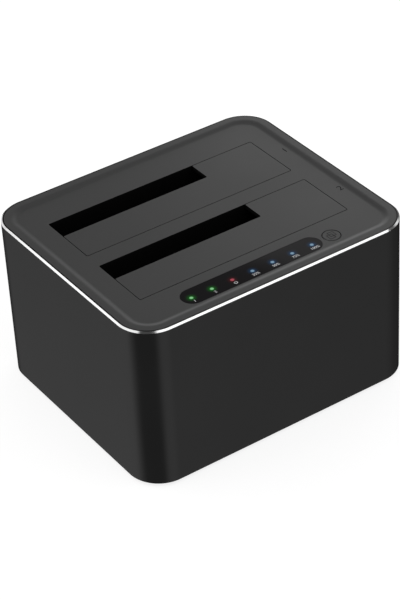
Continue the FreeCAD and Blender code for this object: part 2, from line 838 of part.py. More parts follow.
def led_board_screws():
    return group([small_screw(x, y, led_board_z, board_t) for x, y in led_bosses])


def clone_switch():
    body = prism(switch_w, switch_w, switch_w / 10, led_board_top, switch_top, button_x, button_y)
    bore_r = plunger_r + plunger_gap
    return body.cut(upright(bore_r, switch_top - switch_well, switch_top + past, button_x, button_y))


def clone_plunger():
    return upright(plunger_r, switch_top - plunger_hold, switch_top + plunger_show, button_x, button_y)


def clone_button():
    low = button_flange_top - button_flange
    cap = upright(button_r, low, dish_z, button_x, button_y)
    cap = cap.makeChamfer(button_chamfer, edges_at(cap, dish_z))
    flange = upright(button_r + button_flange, low, button_flange_top, button_x, button_y)
    return cap.fuse(flange).removeSplitter()


def led_ribbon():
    """Flat cable from the main board up to the led board, with a soft jog between its two sockets."""
    low = board_top + ribbon_in
    high = led_board_z - ribbon_in
    jog = ribbon_high_y - ribbon_low_y
    side = math.copysign(1, jog)
    turn = math.acos(1 - abs(jog) / (2 * ribbon_bend))
    rise = ribbon_bend * math.sin(turn)
    sway = side * ribbon_bend * (1 - math.cos(turn / 2))
    lift = ribbon_bend * math.sin(turn / 2)
    mid_z = (low + high) / 2
    foot = V(0, ribbon_low_y, mid_z - rise)
    knee = V(0, ribbon_low_y + jog / 2, mid_z)
    head = V(0, ribbon_high_y, mid_z + rise)
    path = Part.Wire([
        Part.makeLine(V(0, ribbon_low_y, low), foot),
        Part.Arc(foot, foot + V(0, sway, lift), knee).toShape(),
        Part.Arc(knee, head - V(0, sway, lift), head).toShape(),
        Part.makeLine(head, V(0, ribbon_high_y, high)),
    ])
    half_w = ribbon_w / 2
    half_t = ribbon_t / 2
    outline = [(-half_w, -half_t), (half_w, -half_t), (half_w, half_t), (-half_w, half_t), (-half_w, -half_t)]
    section = Part.makePolygon([V(x, ribbon_low_y + y, low) for x, y in outline])
    return path.makePipeShell([section], True, False)


def ribbon_connectors():
    """Socket on the main board and socket under the led board, each with a slit for the ribbon."""
    half_l = ribbon_w / 2 + connector_end
    half_slit = ribbon_w / 2 + 2 * connector_gap
    slit_t = ribbon_t / 2 + connector_gap
    solids = []
    for y, root, up in ((ribbon_low_y, board_top, 1), (ribbon_high_y, led_board_z, -1)):
        mouth = root + up * connector_h
        floor = root + up * connector_floor
        body = box(-half_l, half_l, y - connector_d / 2, y + connector_d / 2, root, mouth)
        slit = box(-half_slit, half_slit, y - slit_t, y + slit_t, floor, mouth + up * past)
        solids.append(body.cut(slit))
    return group(solids)


# ---- Main board and what it carries --------------------------------------------------------------
def main_board():
    length = board_back_y - board_front_y
    middle = (board_back_y + board_front_y) / 2
    board = prism(board_w, length, board_corner_r, board_z, board_top, 0, middle)
    return board.cut([upright(small_screw_r + screw_clear, board_z - past, board_top + past, x, y)
                      for x, y in board_holes])


def controller_chips():
    """Bridge chip and copy controller."""
    solids = []
    top = board_top + chip_h
    for x, bay, from_mid, side in chips:
        y = bays[bay] + from_mid
        chip = box(x - side / 2, x + side / 2, y - side / 2, y + side / 2, board_top, top)
        solids.append(chip.makeChamfer(chip_h / 4, edges_at(chip, top)))
    return group(solids)


def capacitors():
    """Electrolytic cans at the two rear corners of the board, each on its square foot."""
    y = board_back_y - can_back_in
    foot_top = board_top + can_foot_h
    solids = []
    for x in can_xs:
        can = upright(can_r, foot_top, board_top + can_h, x, y)
        can = can.makeChamfer(can_r / 10, edges_at(can, board_top + can_h))
        half = can_foot / 2
        foot = box(x - half, x + half, y - half, y + half, board_top, foot_top)
        solids.append(can.fuse(foot).removeSplitter())
    return group(solids)


def power_inductor():
    top = board_top + inductor_h
    y = bays["a"] + inductor_from_mid
    body = prism(inductor_w, inductor_w, inductor_w / 6, board_top, top, inductor_x, y)
    return body.makeChamfer(inductor_h / 8, edges_at(body, top))


def crystal():
    y = bays["a"] + crystal_from_mid
    return prism(crystal_l, crystal_w, crystal_w / 2, board_top, board_top + crystal_h, crystal_x, y)


# ---- Rear ports ----------------------------------------------------------------------------------
def rear_port_panel():
    face = port_window(port_gap, inner_back, panel_face)
    half_w = port_panel_w / 2 + port_flange_out
    top = port_z + port_panel_h / 2 + port_flange_out
    flange = box(-half_w, half_w, flange_face, inner_back, base_top, top)
    start = flange_face - past
    end = panel_face + past
    removed = [
        usb_block(start, end, usb_gap),
        along_y(dc_sleeve_r + dc_gap, start, end, dc_x, port_z),
        along_y(power_cap_r + power_gap, start, end, power_x, port_z),
    ]
    return face.fuse(flange).cut(removed).removeSplitter()


def usb_block(y0, y1, gap):
    half_w = usb_w / 2 + gap
    half_h = usb_h / 2 + gap
    return box(usb_x - half_w, usb_x + half_w, y0, y1, port_z - half_h, port_z + half_h)


def usb_profile(y0, depth):
    """Stepped mouth of the port: a square lower part with cut top corners and a narrow upper part."""
    low = port_z - usb_h / 2 + usb_floor
    wide = usb_mouth_w / 2
    narrow = usb_mouth_top / 2
    right = [(wide, 0), (wide, usb_mouth_side), (narrow, usb_mouth_slope), (narrow, usb_mouth_h)]
    left = [(-px, pz) for px, pz in reversed(right)]
    points = [V(usb_x + px, y0, low + pz) for px, pz in right + left]
    return Part.Face(Part.makePolygon(points + points[:1])).extrude(V(0, depth, 0))


def usb_port():
    rear = mouth_y - usb_l
    legs = box(usb_x - usb_w / 2, usb_x + usb_w / 2, rear, mouth_y - usb_leg_in, board_top, port_z)
    body = usb_block(rear, mouth_y, 0.0).fuse(legs)
    return body.cut(usb_profile(mouth_y - usb_depth, usb_depth + past)).removeSplitter()


def usb_tongue():
    """Insulator with the two contact tongues, seated at the bottom of the mouth."""
    bottom = mouth_y - usb_depth
    low = port_z - usb_h / 2 + usb_floor
    start = bottom + usb_plug_t
    tip = mouth_y - usb_tongue_in
    tongues = []
    for width, under, over in usb_tongues:
        tongues.append(box(usb_x - width / 2, usb_x + width / 2, start, tip, low + under, low + over))
    return usb_profile(bottom, usb_plug_t).fuse(tongues).removeSplitter()


def dc_jack():
    half = dc_body / 2
    rear = mouth_y - dc_l
    body = box(dc_x - half, dc_x + half, rear, flange_face - dc_gap, board_top, port_z + half)
    sleeve = along_y(dc_sleeve_r, rear + past, mouth_y, dc_x, port_z)
    bore = along_y(dc_bore_r, mouth_y - dc_bore, mouth_y + past, dc_x, port_z)
    return body.fuse(sleeve).cut(bore).removeSplitter()


def dc_jack_pin():
    tip = mouth_y - dc_pin_in
    pin = along_y(dc_pin_r, mouth_y - dc_bore, tip, dc_x, port_z)
    return pin.makeChamfer(dc_pin_r * 0.4, [e for e in pin.Edges if abs(e.BoundBox.YMin - tip) < 1e-4])


def power_switch():
    half = power_switch_w / 2
    front = flange_face - flange_gap - power_flange - power_travel - power_rest_gap
    body = box(power_x - half, power_x + half, front - power_switch_l, front, board_top, port_z + half)
    bore_r = power_stem_r + power_stem_gap
    return body.cut(along_y(bore_r, front - power_switch_bore, front + past, power_x, port_z))


def power_button():
    """Round cap with a flange behind the panel and a stem that enters the switch."""
    flange_back = flange_face - flange_gap
    flange_front = flange_back - power_flange
    tip = panel_face + power_proud
    cap = along_y(power_cap_r, flange_front, tip, power_x, port_z)
    cap = cap.makeChamfer(power_cap_r / 10, [e for e in cap.Edges if abs(e.BoundBox.YMin - tip) < 1e-4])
    flange = along_y(power_cap_r + power_flange, flange_front, flange_back, power_x, port_z)
    stem = along_y(power_stem_r, flange_front - power_stem, flange_front, power_x, port_z)
    return cap.fuse([flange, stem]).removeSplitter()


# ---- Screws -----------------------------------------------------------------------------------------
def base_screws():
    z = base_head_z()
    length = post_foot_z - z + screw_bite
    return group([screw(x, y, z, length, screw_r, screw_head_r, screw_head_h) for x, y in posts])


def board_screws():
    return group([small_screw(x, y, board_top, board_t, up=-1) for x, y in board_holes])


def well_screws():
    return group([small_screw(x, y, ear_top - ear_t, ear_t) for x, y in well_screw_places()])


# ---- Build ---------------------------------------------------------------------------------------------
def all_nodes():
    nodes = {
        "aluminium_shell": aluminium_shell(),
        "top_cover": top_cover(),
        "base_plate": base_plate(),
        "rubber_feet": rubber_feet(),
        "base_screws": base_screws(),
        "well_screws": well_screws(),
        "led_window": led_window(),
        "light_pipes_green": light_pipes("green"),
        "light_pipe_red": light_pipes("red"),
        "light_pipes_blue": light_pipes("blue"),
        "led_chips": led_chips(),
        "led_board": led_board(),
        "led_board_screws": led_board_screws(),
        "clone_button": clone_button(),
        "clone_plunger": clone_plunger(),
        "clone_switch": clone_switch(),
        "led_ribbon": led_ribbon(),
        "ribbon_connectors": ribbon_connectors(),
        "main_board": main_board(),
        "board_screws": board_screws(),
        "controller_chips": controller_chips(),
        "capacitors": capacitors(),
        "power_inductor": power_inductor(),
        "crystal": crystal(),
        "rear_port_panel": rear_port_panel(),
        "usb_port": usb_port(),
        "usb_tongue": usb_tongue(),
        "dc_jack": dc_jack(),
        "dc_jack_pin": dc_jack_pin(),
        "power_switch": power_switch(),
        "power_button": power_button(),
    }
    for bay, mid in bays.items():
        nodes["drive_well_" + bay] = drive_well(mid)
        nodes["bay_flap_" + bay] = bay_flap(mid)
        nodes["flap_pin_" + bay] = flap_pin(mid)
        nodes["flap_spring_" + bay] = flap_spring(mid)
        nodes["sata_connector_" + bay] = sata_connector(mid)
        nodes["sata_contacts_" + bay] = sata_contacts(mid)
    return nodes


os.makedirs("parts", exist_ok=True)
for name, shape in all_nodes().items():
    state = "valid" if shape.isValid() else "NOT VALID"
    print(name, len(shape.Solids), "solids", round(shape.Volume, 1), "mm3", state)
    shape.exportStep("parts/" + name + ".step")
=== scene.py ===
# %% [markdown]
# # A dual-bay drive duplicator, finished in Blender
#
# The construction comes from CAD: an aluminium sleeve, a moulded cover with two sprung bay flaps,
# a smoked status window, a copy button, and the boards and ports inside and behind. This script
# keeps that frame as it is and gives every piece its finish. The large smooth forms are built
# again from their outlines, because a drawn corner shades better than a packed, faceted one.

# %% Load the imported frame
import bmesh
import bpy
import json
import math
from mathutils import Matrix, Vector


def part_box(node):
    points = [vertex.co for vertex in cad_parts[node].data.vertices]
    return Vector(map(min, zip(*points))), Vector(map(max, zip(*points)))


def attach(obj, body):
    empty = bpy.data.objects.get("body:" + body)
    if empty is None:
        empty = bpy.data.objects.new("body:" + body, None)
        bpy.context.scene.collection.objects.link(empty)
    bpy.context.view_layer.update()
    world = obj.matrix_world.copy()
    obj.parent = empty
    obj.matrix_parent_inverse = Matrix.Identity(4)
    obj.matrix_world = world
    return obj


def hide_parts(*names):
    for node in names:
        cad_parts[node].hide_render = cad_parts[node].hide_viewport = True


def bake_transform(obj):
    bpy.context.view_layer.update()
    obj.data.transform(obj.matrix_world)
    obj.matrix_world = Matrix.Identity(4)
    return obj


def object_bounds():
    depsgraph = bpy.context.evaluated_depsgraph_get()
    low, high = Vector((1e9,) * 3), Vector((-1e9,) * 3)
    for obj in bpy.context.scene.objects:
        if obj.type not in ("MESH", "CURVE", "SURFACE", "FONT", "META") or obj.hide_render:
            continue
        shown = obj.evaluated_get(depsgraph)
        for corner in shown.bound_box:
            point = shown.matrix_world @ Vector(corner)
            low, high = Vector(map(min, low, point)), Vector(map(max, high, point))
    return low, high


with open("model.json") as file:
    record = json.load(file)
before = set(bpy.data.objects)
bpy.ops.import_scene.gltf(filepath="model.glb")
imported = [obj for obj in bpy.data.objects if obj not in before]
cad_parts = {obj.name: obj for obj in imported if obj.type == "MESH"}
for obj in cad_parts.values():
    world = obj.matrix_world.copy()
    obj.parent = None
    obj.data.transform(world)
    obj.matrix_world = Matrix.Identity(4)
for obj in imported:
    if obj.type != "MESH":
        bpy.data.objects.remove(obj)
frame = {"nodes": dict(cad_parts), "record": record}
cad_low, cad_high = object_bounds()
MM = 0.001
slot_of = {part["node"]: part["material_slot"] for part in frame["record"]["subparts"]}
bodies = frame["record"]["behaviour"]["bodies"]
body_of = {node: body for body, nodes in bodies.items() for node in nodes}

# %% [markdown]
# ## The camera
#
# The camera looks down on the front left corner from well over half a metre, through a long lens,
# so the sleeve's edges converge only a little. It is placed by an azimuth, an elevation, a small
# roll and a distance from a point of the top near its front edge.

# %% Camera
VIEW_AZIMUTH = math.radians(-32.829)
VIEW_ELEVATION = math.radians(35.505)
VIEW_ROLL = math.radians(-3.361)
VIEW_DISTANCE = 861.2 * MM
VIEW_LENS = 131.73
AIM_IN = Vector((34.22, 8.0)) * MM     # the point it aims at, in from the left and front of the rim


def place_camera():
    data = bpy.data.cameras.new("camera")
    data.lens = VIEW_LENS
    data.sensor_width = 36.0
    data.clip_start = 0.01
    data.clip_end = 50.0
    back = Vector((
        math.sin(VIEW_AZIMUTH) * math.cos(VIEW_ELEVATION),
        -math.cos(VIEW_AZIMUTH) * math.cos(VIEW_ELEVATION),
        math.sin(VIEW_ELEVATION),
    ))
    level = (-back).cross(Vector((0, 0, 1))).normalized()
    rise = level.cross(-back)
    right = math.cos(VIEW_ROLL) * level + math.sin(VIEW_ROLL) * rise
    up = math.cos(VIEW_ROLL) * rise - math.sin(VIEW_ROLL) * level
    aim = Vector((cad_low.x + AIM_IN.x, cad_low.y + AIM_IN.y, cad_high.z))
    camera = bpy.data.objects.new("camera", data)
    bpy.context.scene.collection.objects.link(camera)
    turned = Matrix((right, up, back)).transposed().to_4x4()
    camera.matrix_world = Matrix.Translation(aim + back * VIEW_DISTANCE) @ turned
    return camera


bpy.context.scene.camera = place_camera()
bpy.context.scene.view_settings.view_transform = "Standard"
print("camera at", [round(c, 3) for c in bpy.context.scene.camera.matrix_world.translation])

# %% [markdown]
# ## Nodes, colours and trees
#
# Every material and every Geometry Nodes tree is wired by one small function. It makes a node,
# sets the node's own properties, and gives each input either a value or another node's socket.
# Nodes that are wanted often, such as Math, Map Range and Mix, have a short function of their own.
# Colours are written as sRGB hex, as they look on a screen, and turned to linear once.


# %% Helpers for nodes and colours
def linear(colour):
    """sRGB hex, such as 2a2a2a, as linear red, green, blue and alpha."""
    channels = [int(colour[i:i + 2], 16) / 255 for i in (0, 2, 4)]
    light = [c / 12.92 if c <= 0.04045 else ((c + 0.055) / 1.055) ** 2.4 for c in channels]
    return (*light, 1.0)


def node(tree, kind, settings=None, inputs=None):
    """Adds a node. Settings are its properties; each input takes a value or a socket."""
    made = tree.nodes.new(kind)
    for name, value in (settings or {}).items():
        setattr(made, name, value)
    for key, value in (inputs or {}).items():
        if isinstance(value, bpy.types.NodeSocket):
            tree.links.new(value, made.inputs[key])
        else:
            made.inputs[key].default_value = value
    return made


def maths(tree, operation, a, b=0.0):
    """Socket with the result of one Math node."""
    return node(tree, "ShaderNodeMath", {"operation": operation}, {0: a, 1: b}).outputs[0]


def remap(tree, value, low, high, to_low=0.0, to_high=1.0, curve="LINEAR"):
    """Socket with a value carried from one range into another, and kept inside it."""
    return node(tree, "ShaderNodeMapRange", {"interpolation_type": curve}, {
        "Value": value, "From Min": low, "From Max": high, "To Min": to_low, "To Max": to_high,
    }).outputs["Result"]


def noise(tree, place, size, detail):
    """Noise node whose spots are about this many mm across."""
    return node(tree, "ShaderNodeTexNoise", None,
                {"Vector": place, "Scale": 1 / (size * MM), "Detail": detail})


def mixed_level(tree, share, a, b):
    """Socket with level a where the share is 0 and level b where it is 1."""
    return node(tree, "ShaderNodeMix", {"data_type": "FLOAT"},
                {"Factor": share, "A": a, "B": b}).outputs[0]


def mixed_colour(tree, share, a, b):
    """Socket with colour a where the share is 0 and colour b where it is 1."""
    return node(tree, "ShaderNodeMix", {"data_type": "RGBA"}, {"Factor": share, 6: a, 7: b}).outputs[2]


def blank(owner):
    """The empty node tree of a new material or world."""
    owner.use_nodes = True
    owner.node_tree.nodes.clear()
    return owner.node_tree


print("mid grey is", round(linear("808080")[0], 3), "in linear light")

# %% [markdown]
# ## The studio
#
# Black goods show nothing but what stands round them, so the studio matters as much as the
# material. Below the horizon a mirror sees a white sweep, with dark cloths hung at some compass
# directions, as they are in a studio to draw the rounded corners of black metal. The walls
# are white up to about twenty degrees, with one dim stretch at the back right, and the edge of the
# ceiling is dim, so the parts of the soft step that face the camera look darker than the flat, and
# those that face away look lighter. Overhead the room is bright at the back right, and dark at the
# front left, where the camera stands.


# %% World levels
# Each table pairs an azimuth in degrees, from +X towards +Y, with how bright a mirror sees the
# studio there. Elevations are in degrees above the horizon.
AMBIENT = 0.55              # light that the room gives a matt surface
CEILING_LEVEL = 0.09        # the ceiling's edge
OVERHEAD_FROM_TO = (40.0, 65.0)     # elevations between which that edge gives way to what is overhead
OVERHEAD_LEVELS = ((-180, 0.04), (-60, 0.04), (0, 0.46), (125, 0.46), (165, 0.04), (180, 0.04))
WALL_TOP_FROM_TO = (17.0, 27.0)     # elevations between which the wall gives way to the ceiling
WALL_LEVELS = ((-180, 1.0), (0, 1.0), (15, 0.15), (48, 0.15), (62, 1.2), (90, 1.0), (180, 1.0))
SWEEP_TOP = -15.0           # elevation at which the sweep begins
SWEEP_LEVELS = (
    (-180, 0.56), (-170, 0.33), (-112, 0.33), (-94, 0.86), (-76, 0.86), (-58, 0.69), (-51, 0.64),
    (-27, 0.47), (-15, 0.32), (0, 0.22), (20, 0.05), (85, 0.05), (101, 0.23), (112, 0.55), (124, 0.80),
    (150, 1.08), (162, 1.08), (180, 0.56),
)
print("levels overhead, on the walls and on the sweep:",
      len(OVERHEAD_LEVELS), len(WALL_LEVELS), len(SWEEP_LEVELS))

# %% World
def by_azimuth(tree, direction, levels):
    """Socket with the level that a direction's azimuth has in a table of azimuths and levels."""
    axes = node(tree, "ShaderNodeSeparateXYZ", None, {0: direction}).outputs
    share = remap(tree, maths(tree, "ARCTAN2", axes["Y"], axes["X"]), -math.pi, math.pi)
    ramp = node(tree, "ShaderNodeValToRGB", None, {"Fac": share})
    stops = ramp.color_ramp.elements
    while len(stops) < len(levels):
        stops.new(0.5)
    for stop, (azimuth, level) in zip(stops, levels):
        stop.position = (azimuth + 180) / 360
        stop.color = (level, level, level, 1)
    return node(tree, "ShaderNodeRGBToBW", None, {0: ramp.outputs["Color"]}).outputs[0]


def studio_world():
    world = bpy.data.worlds.new("studio")
    tree = blank(world)
    direction = node(tree, "ShaderNodeTexCoord").outputs["Generated"]
    height = node(tree, "ShaderNodeSeparateXYZ", None, {0: direction}).outputs["Z"]

    def by_elevation(band, lower, upper):
        low, high = (math.sin(math.radians(elevation)) for elevation in band)
        return remap(tree, height, low, high, lower, upper, "SMOOTHSTEP")

    ceiling = by_elevation(OVERHEAD_FROM_TO, CEILING_LEVEL, by_azimuth(tree, direction, OVERHEAD_LEVELS))
    above = by_elevation(WALL_TOP_FROM_TO, by_azimuth(tree, direction, WALL_LEVELS), ceiling)
    is_below = maths(tree, "LESS_THAN", height, math.sin(math.radians(SWEEP_TOP)))
    around = mixed_level(tree, is_below, above, by_azimuth(tree, direction, SWEEP_LEVELS))
    rays = node(tree, "ShaderNodeLightPath").outputs
    mirrored = maths(tree, "MAXIMUM", rays["Is Glossy Ray"], rays["Is Transmission Ray"])
    unseen = mixed_level(tree, mirrored, AMBIENT, around)
    strength = mixed_level(tree, rays["Is Camera Ray"], unseen, 1.0)
    light = node(tree, "ShaderNodeBackground", None, {"Color": (1, 1, 1, 1), "Strength": strength})
    node(tree, "ShaderNodeOutputWorld", None, {"Surface": light.outputs[0]})
    bpy.context.scene.world = world


studio_world()
print("world with", len(bpy.context.scene.world.node_tree.nodes), "nodes")

# %% [markdown]
# ### The floor
#
# The floor is matt and pale. A little glow lifts it to the white of the walls where the camera
# looks at it, and it keeps the object's soft shadow. Mirrors look through it to the sweep, whose
# levels don't depend on where the object stands.

# %% Floor
FLOOR_GLOW = 0.80       # light that the camera sees the floor give
FLOOR_HALF = 3.0        # half its side, in m


def studio_floor():
    material = bpy.data.materials.new("pale_studio_floor")
    tree = blank(material)
    rays = node(tree, "ShaderNodeLightPath").outputs
    glow = maths(tree, "MULTIPLY", rays["Is Camera Ray"], FLOOR_GLOW)
    matt = node(tree, "ShaderNodeBsdfDiffuse", None, {"Color": linear("969696")})
    light = node(tree, "ShaderNodeEmission", None, {"Color": (1, 1, 1, 1), "Strength": glow})
    both = node(tree, "ShaderNodeAddShader", None, {0: matt.outputs[0], 1: light.outputs[0]})
    node(tree, "ShaderNodeOutputMaterial", None, {"Surface": both.outputs[0]})
    mesh = bpy.data.meshes.new("floor")
    signs = ((-1, -1), (1, -1), (1, 1), (-1, 1))
    corners = [(sx * FLOOR_HALF, sy * FLOOR_HALF, cad_low.z) for sx, sy in signs]
    mesh.from_pydata(corners, [], [(0, 1, 2, 3)])
    mesh.materials.append(material)
    floor = bpy.data.objects.new("floor", mesh)
    bpy.context.scene.collection.objects.link(floor)
    floor.visible_glossy = False


studio_floor()
print("floor at", round(cad_low.z / MM, 2), "mm")

# %% [markdown]
# ### The softboxes
#
# One large softbox stands out from the left side and one out from the front. The bright cut edge
# mirrors them, and goes dark for a moment at the corners where neither is mirrored. A small one
# stands close to the back right corner. A lamp's power follows from its area and from how bright
# it looks, so that brightness is what the table gives.

# %% Softboxes
SOFTBOXES = (
    # name, azimuth and elevation in degrees, then distance, width and height in m, and radiance
    ("left_softbox", 159.5, 36.0, 1.1, 1.25, 0.80, 1.15),
    ("right_softbox", -73.0, 45.5, 1.1, 1.14, 0.46, 1.50),
    ("rear_softbox", 35.0, 27.0, 0.45, 0.30, 0.30, 0.88),
)


def softbox(name, azimuth, elevation, distance, width, height, radiance):
    """Rectangular lamp that faces the object. Returns its power in watts."""
    data = bpy.data.lights.new(name, "AREA")
    data.shape = "RECTANGLE"
    data.size = width
    data.size_y = height
    data.energy = math.pi * width * height * radiance
    a, e = math.radians(azimuth), math.radians(elevation)
    outward = Vector((math.cos(a) * math.cos(e), math.sin(a) * math.cos(e), math.sin(e)))
    lamp = bpy.data.objects.new(name, data)
    bpy.context.scene.collection.objects.link(lamp)
    facing = outward.to_track_quat("Z", "Y").to_matrix().to_4x4()
    lamp.matrix_world = Matrix.Translation(outward * distance) @ facing
    return data.energy


for box in SOFTBOXES:
    print(box[0], round(softbox(*box), 2), "W")

# %% [markdown]
# ## One recipe for worked surfaces
#
# Most pieces here are moulded, blasted, drawn or plated, and all of those finishes have the same
# ingredients: a colour that drifts a little, a fine relief, a gloss that varies, and edges that
# handling has worn. The recipe reads the relief and the drift from Object coordinates, in real
# millimetres. Worn edges are found with the Bevel node: where its rounded normal leaves the true
# one, an edge is near.


# %% The recipe
DRIFT_SIZE = 30.0           # mm over which the colour and the gloss drift
DRIFT_FROM_TO = (0.3, 0.7)  # most of a noise's values lie between these
GLOSS_DRIFT = 0.03          # how far the roughness goes each way
EDGE_FROM_TO = (0.995, 0.80)    # agreement of the two normals at which wear begins and is full


def worked_surface(name, colour, worn, roughness, grain=0.35, relief=0.012, stretch=(1, 1, 1),
                   metallic=0.0, ior=1.5, specular=0.5, tint=None, edge=0.25, drift=0.10):
    """Material from a colour, an edge colour, a roughness and a grain. Grain, relief and edge in mm."""
    material = bpy.data.materials.new(name)
    tree = blank(material)
    place = node(tree, "ShaderNodeTexCoord").outputs["Object"]
    along = node(tree, "ShaderNodeMapping", None, {"Vector": place, "Scale": stretch}).outputs[0]
    broad = noise(tree, place, DRIFT_SIZE, 3.0)
    fine = noise(tree, along, grain, 2.0)
    base = Vector(linear(colour)[:3])
    lighter = tuple(base * (1 + drift)) + (1,)
    darker = tuple(base * (1 - drift)) + (1,)
    toned = mixed_colour(tree, broad.outputs["Fac"], darker, lighter)
    rounded = node(tree, "ShaderNodeBevel", {"samples": 4}, {"Radius": edge * MM}).outputs[0]
    true = node(tree, "ShaderNodeNewGeometry").outputs["Normal"]
    agree = node(tree, "ShaderNodeVectorMath", {"operation": "DOT_PRODUCT"}, {0: rounded, 1: true})
    near_edge = remap(tree, agree.outputs["Value"], *EDGE_FROM_TO)
    patchy = maths(tree, "MULTIPLY", near_edge, broad.outputs["Fac"])
    shown = mixed_colour(tree, patchy, toned, linear(worn))
    gloss = remap(tree, broad.outputs["Fac"], *DRIFT_FROM_TO,
                  roughness - GLOSS_DRIFT, roughness + GLOSS_DRIFT)
    bump = node(tree, "ShaderNodeBump", None,
                {"Strength": 1.0, "Distance": relief * MM, "Height": fine.outputs["Fac"]}).outputs[0]
    shader = node(tree, "ShaderNodeBsdfPrincipled", None, {
        "Base Color": shown, "Roughness": gloss, "Normal": bump, "Metallic": metallic,
        "Specular IOR Level": specular, "IOR": ior,
    })
    if tint:
        shader.inputs["Specular Tint"].default_value = linear(tint)
    node(tree, "ShaderNodeOutputMaterial", None, {"Surface": shader.outputs[0]})
    return material


print("recipe ready: colour and gloss drift over", DRIFT_SIZE, "mm")

# %% [markdown]
# ## Trees that grow a piece
#
# Geometry Nodes make what follows a rule. Each tree has named inputs for its sizes. A helper puts
# the tree on a starting mesh, sets the inputs, takes the result as a plain mesh and throws the
# starting mesh away, so nothing live is left behind.


# %% Helpers for trees
def new_tree(name, inputs):
    """Geometry Nodes tree with a geometry input and the named sizes. Returns it with its input node."""
    tree = bpy.data.node_groups.new(name, "GeometryNodeTree")
    tree.interface.new_socket("Geometry", in_out="INPUT", socket_type="NodeSocketGeometry")
    for label, kind in inputs.items():
        tree.interface.new_socket(label, in_out="INPUT", socket_type="NodeSocket" + kind)
    tree.interface.new_socket("Geometry", in_out="OUTPUT", socket_type="NodeSocketGeometry")
    return tree, node(tree, "NodeGroupInput").outputs


def close_tree(tree, geometry, material):
    """Every tree ends the same way: instances made real, then the material."""
    real = node(tree, "GeometryNodeRealizeInstances", None, {0: geometry}).outputs[0]
    dressed = node(tree, "GeometryNodeSetMaterial", None,
                   {"Geometry": real, "Material": material}).outputs[0]
    node(tree, "NodeGroupOutput", None, {0: dressed})


def show(name, mesh):
    """Object of this mesh, in the scene."""
    piece = bpy.data.objects.new(name, mesh)
    bpy.context.scene.collection.objects.link(piece)
    return piece


def evaluated(piece):
    """A piece's mesh with its modifiers worked in."""
    graph = bpy.context.evaluated_depsgraph_get()
    mesh = bpy.data.meshes.new_from_object(piece.evaluated_get(graph), depsgraph=graph)
    mesh.name = piece.name
    return mesh


def grow(name, tree, start, sizes):
    """The mesh that a tree grows on a starting mesh."""
    seed = show(name + "_seed", start)
    modifier = seed.modifiers.new("grow", "NODES")
    modifier.node_group = tree
    for item in tree.interface.items_tree:
        if item.in_out == "INPUT" and item.name in sizes:
            modifier[item.identifier] = sizes[item.name]
    mesh = evaluated(seed)
    mesh.name = name
    bpy.data.objects.remove(seed)
    return mesh


print("helpers for trees ready, with", len(bpy.data.node_groups), "trees so far")

# %% Helpers for meshes
MERGE = 0.0005          # mm within which the points of a made mesh are one


def points(places):
    """Mesh of loose points, in metres."""
    mesh = bpy.data.meshes.new("points")
    mesh.from_pydata([tuple(p) for p in places], [], [])
    return mesh


def profile(corners, closed=True):
    """Edges through (inset, height) corners in mm, laid out as the sweep wants: outwards and down."""
    mesh = bpy.data.meshes.new("profile")
    edges = [(i, i + 1) for i in range(len(corners) - 1)]
    if closed:
        edges.append((len(corners) - 1, 0))
    mesh.from_pydata([(-inset * MM, -height * MM, 0) for inset, height in corners], edges, [])
    return mesh


def reworked(mesh, work):
    """Opens a mesh as a bmesh, lets work change it, and writes it back."""
    shape = bmesh.new()
    shape.from_mesh(mesh)
    work(shape)
    shape.to_mesh(mesh)
    shape.free()
    return mesh


def outward(shape):
    """Merges a bmesh's points and turns its faces outwards."""
    bmesh.ops.remove_doubles(shape, verts=shape.verts, dist=MERGE * MM)
    bmesh.ops.recalc_face_normals(shape, faces=shape.faces)


print("points of a made mesh are merged within", MERGE, "mm")

# %% Helpers for finished pieces
def soften(piece, width, angle=35):
    """Smooth shading that breaks at real edges, and a small rounding on those edges. Width is in mm."""
    piece.data.shade_smooth()
    piece.data.set_sharp_from_angle(angle=math.radians(angle))
    if width:
        bevel = piece.modifiers.new("soft_edges", "BEVEL")
        bevel.width = width * MM
        bevel.segments = 2
        bevel.limit_method = "ANGLE"
        bevel.angle_limit = math.radians(angle)
        bevel.harden_normals = True
    return piece


def dress(mesh, finish):
    """One finish over the whole mesh."""
    mesh.materials.clear()
    mesh.materials.append(finish)
    mesh.polygons.foreach_set("material_index", [0] * len(mesh.polygons))
    return mesh


def fit(piece, cad_node):
    """The finished piece stands for its CAD node and rides with it."""
    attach(piece, body_of[cad_node])
    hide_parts(cad_node)
    return piece


print(len(set(slot_of.values())), "finish slots to fill")

# %% [markdown]
# ## Reading the frame's own shapes
#
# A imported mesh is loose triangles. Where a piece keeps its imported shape, or where a part of it is
# wanted, the mesh is copied, its points are merged and its flat faces are joined again. Fasteners
# and contacts of one kind share a node, so their places are read from its separate solids.


# %% Merged copies and separate solids
PACKED_MERGE = 0.001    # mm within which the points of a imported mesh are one
FLAT_WITHIN = 0.6       # degrees within which neighbouring triangles are one flat face


def merged_copy(cad_node):
    """CAD node's mesh with its loose triangles joined into whole faces."""
    mesh = bpy.data.meshes.new(cad_node)
    shape = bmesh.new()
    shape.from_mesh(frame["nodes"][cad_node].data)
    bmesh.ops.remove_doubles(shape, verts=shape.verts, dist=PACKED_MERGE * MM)
    flat = math.radians(FLAT_WITHIN)
    bmesh.ops.dissolve_limit(shape, angle_limit=flat, verts=shape.verts, edges=shape.edges)
    shape.to_mesh(mesh)
    shape.free()
    for name in ("custom_normal", "sharp_face", "sharp_edge"):
        if name in mesh.attributes:
            mesh.attributes.remove(mesh.attributes[name])
    return mesh


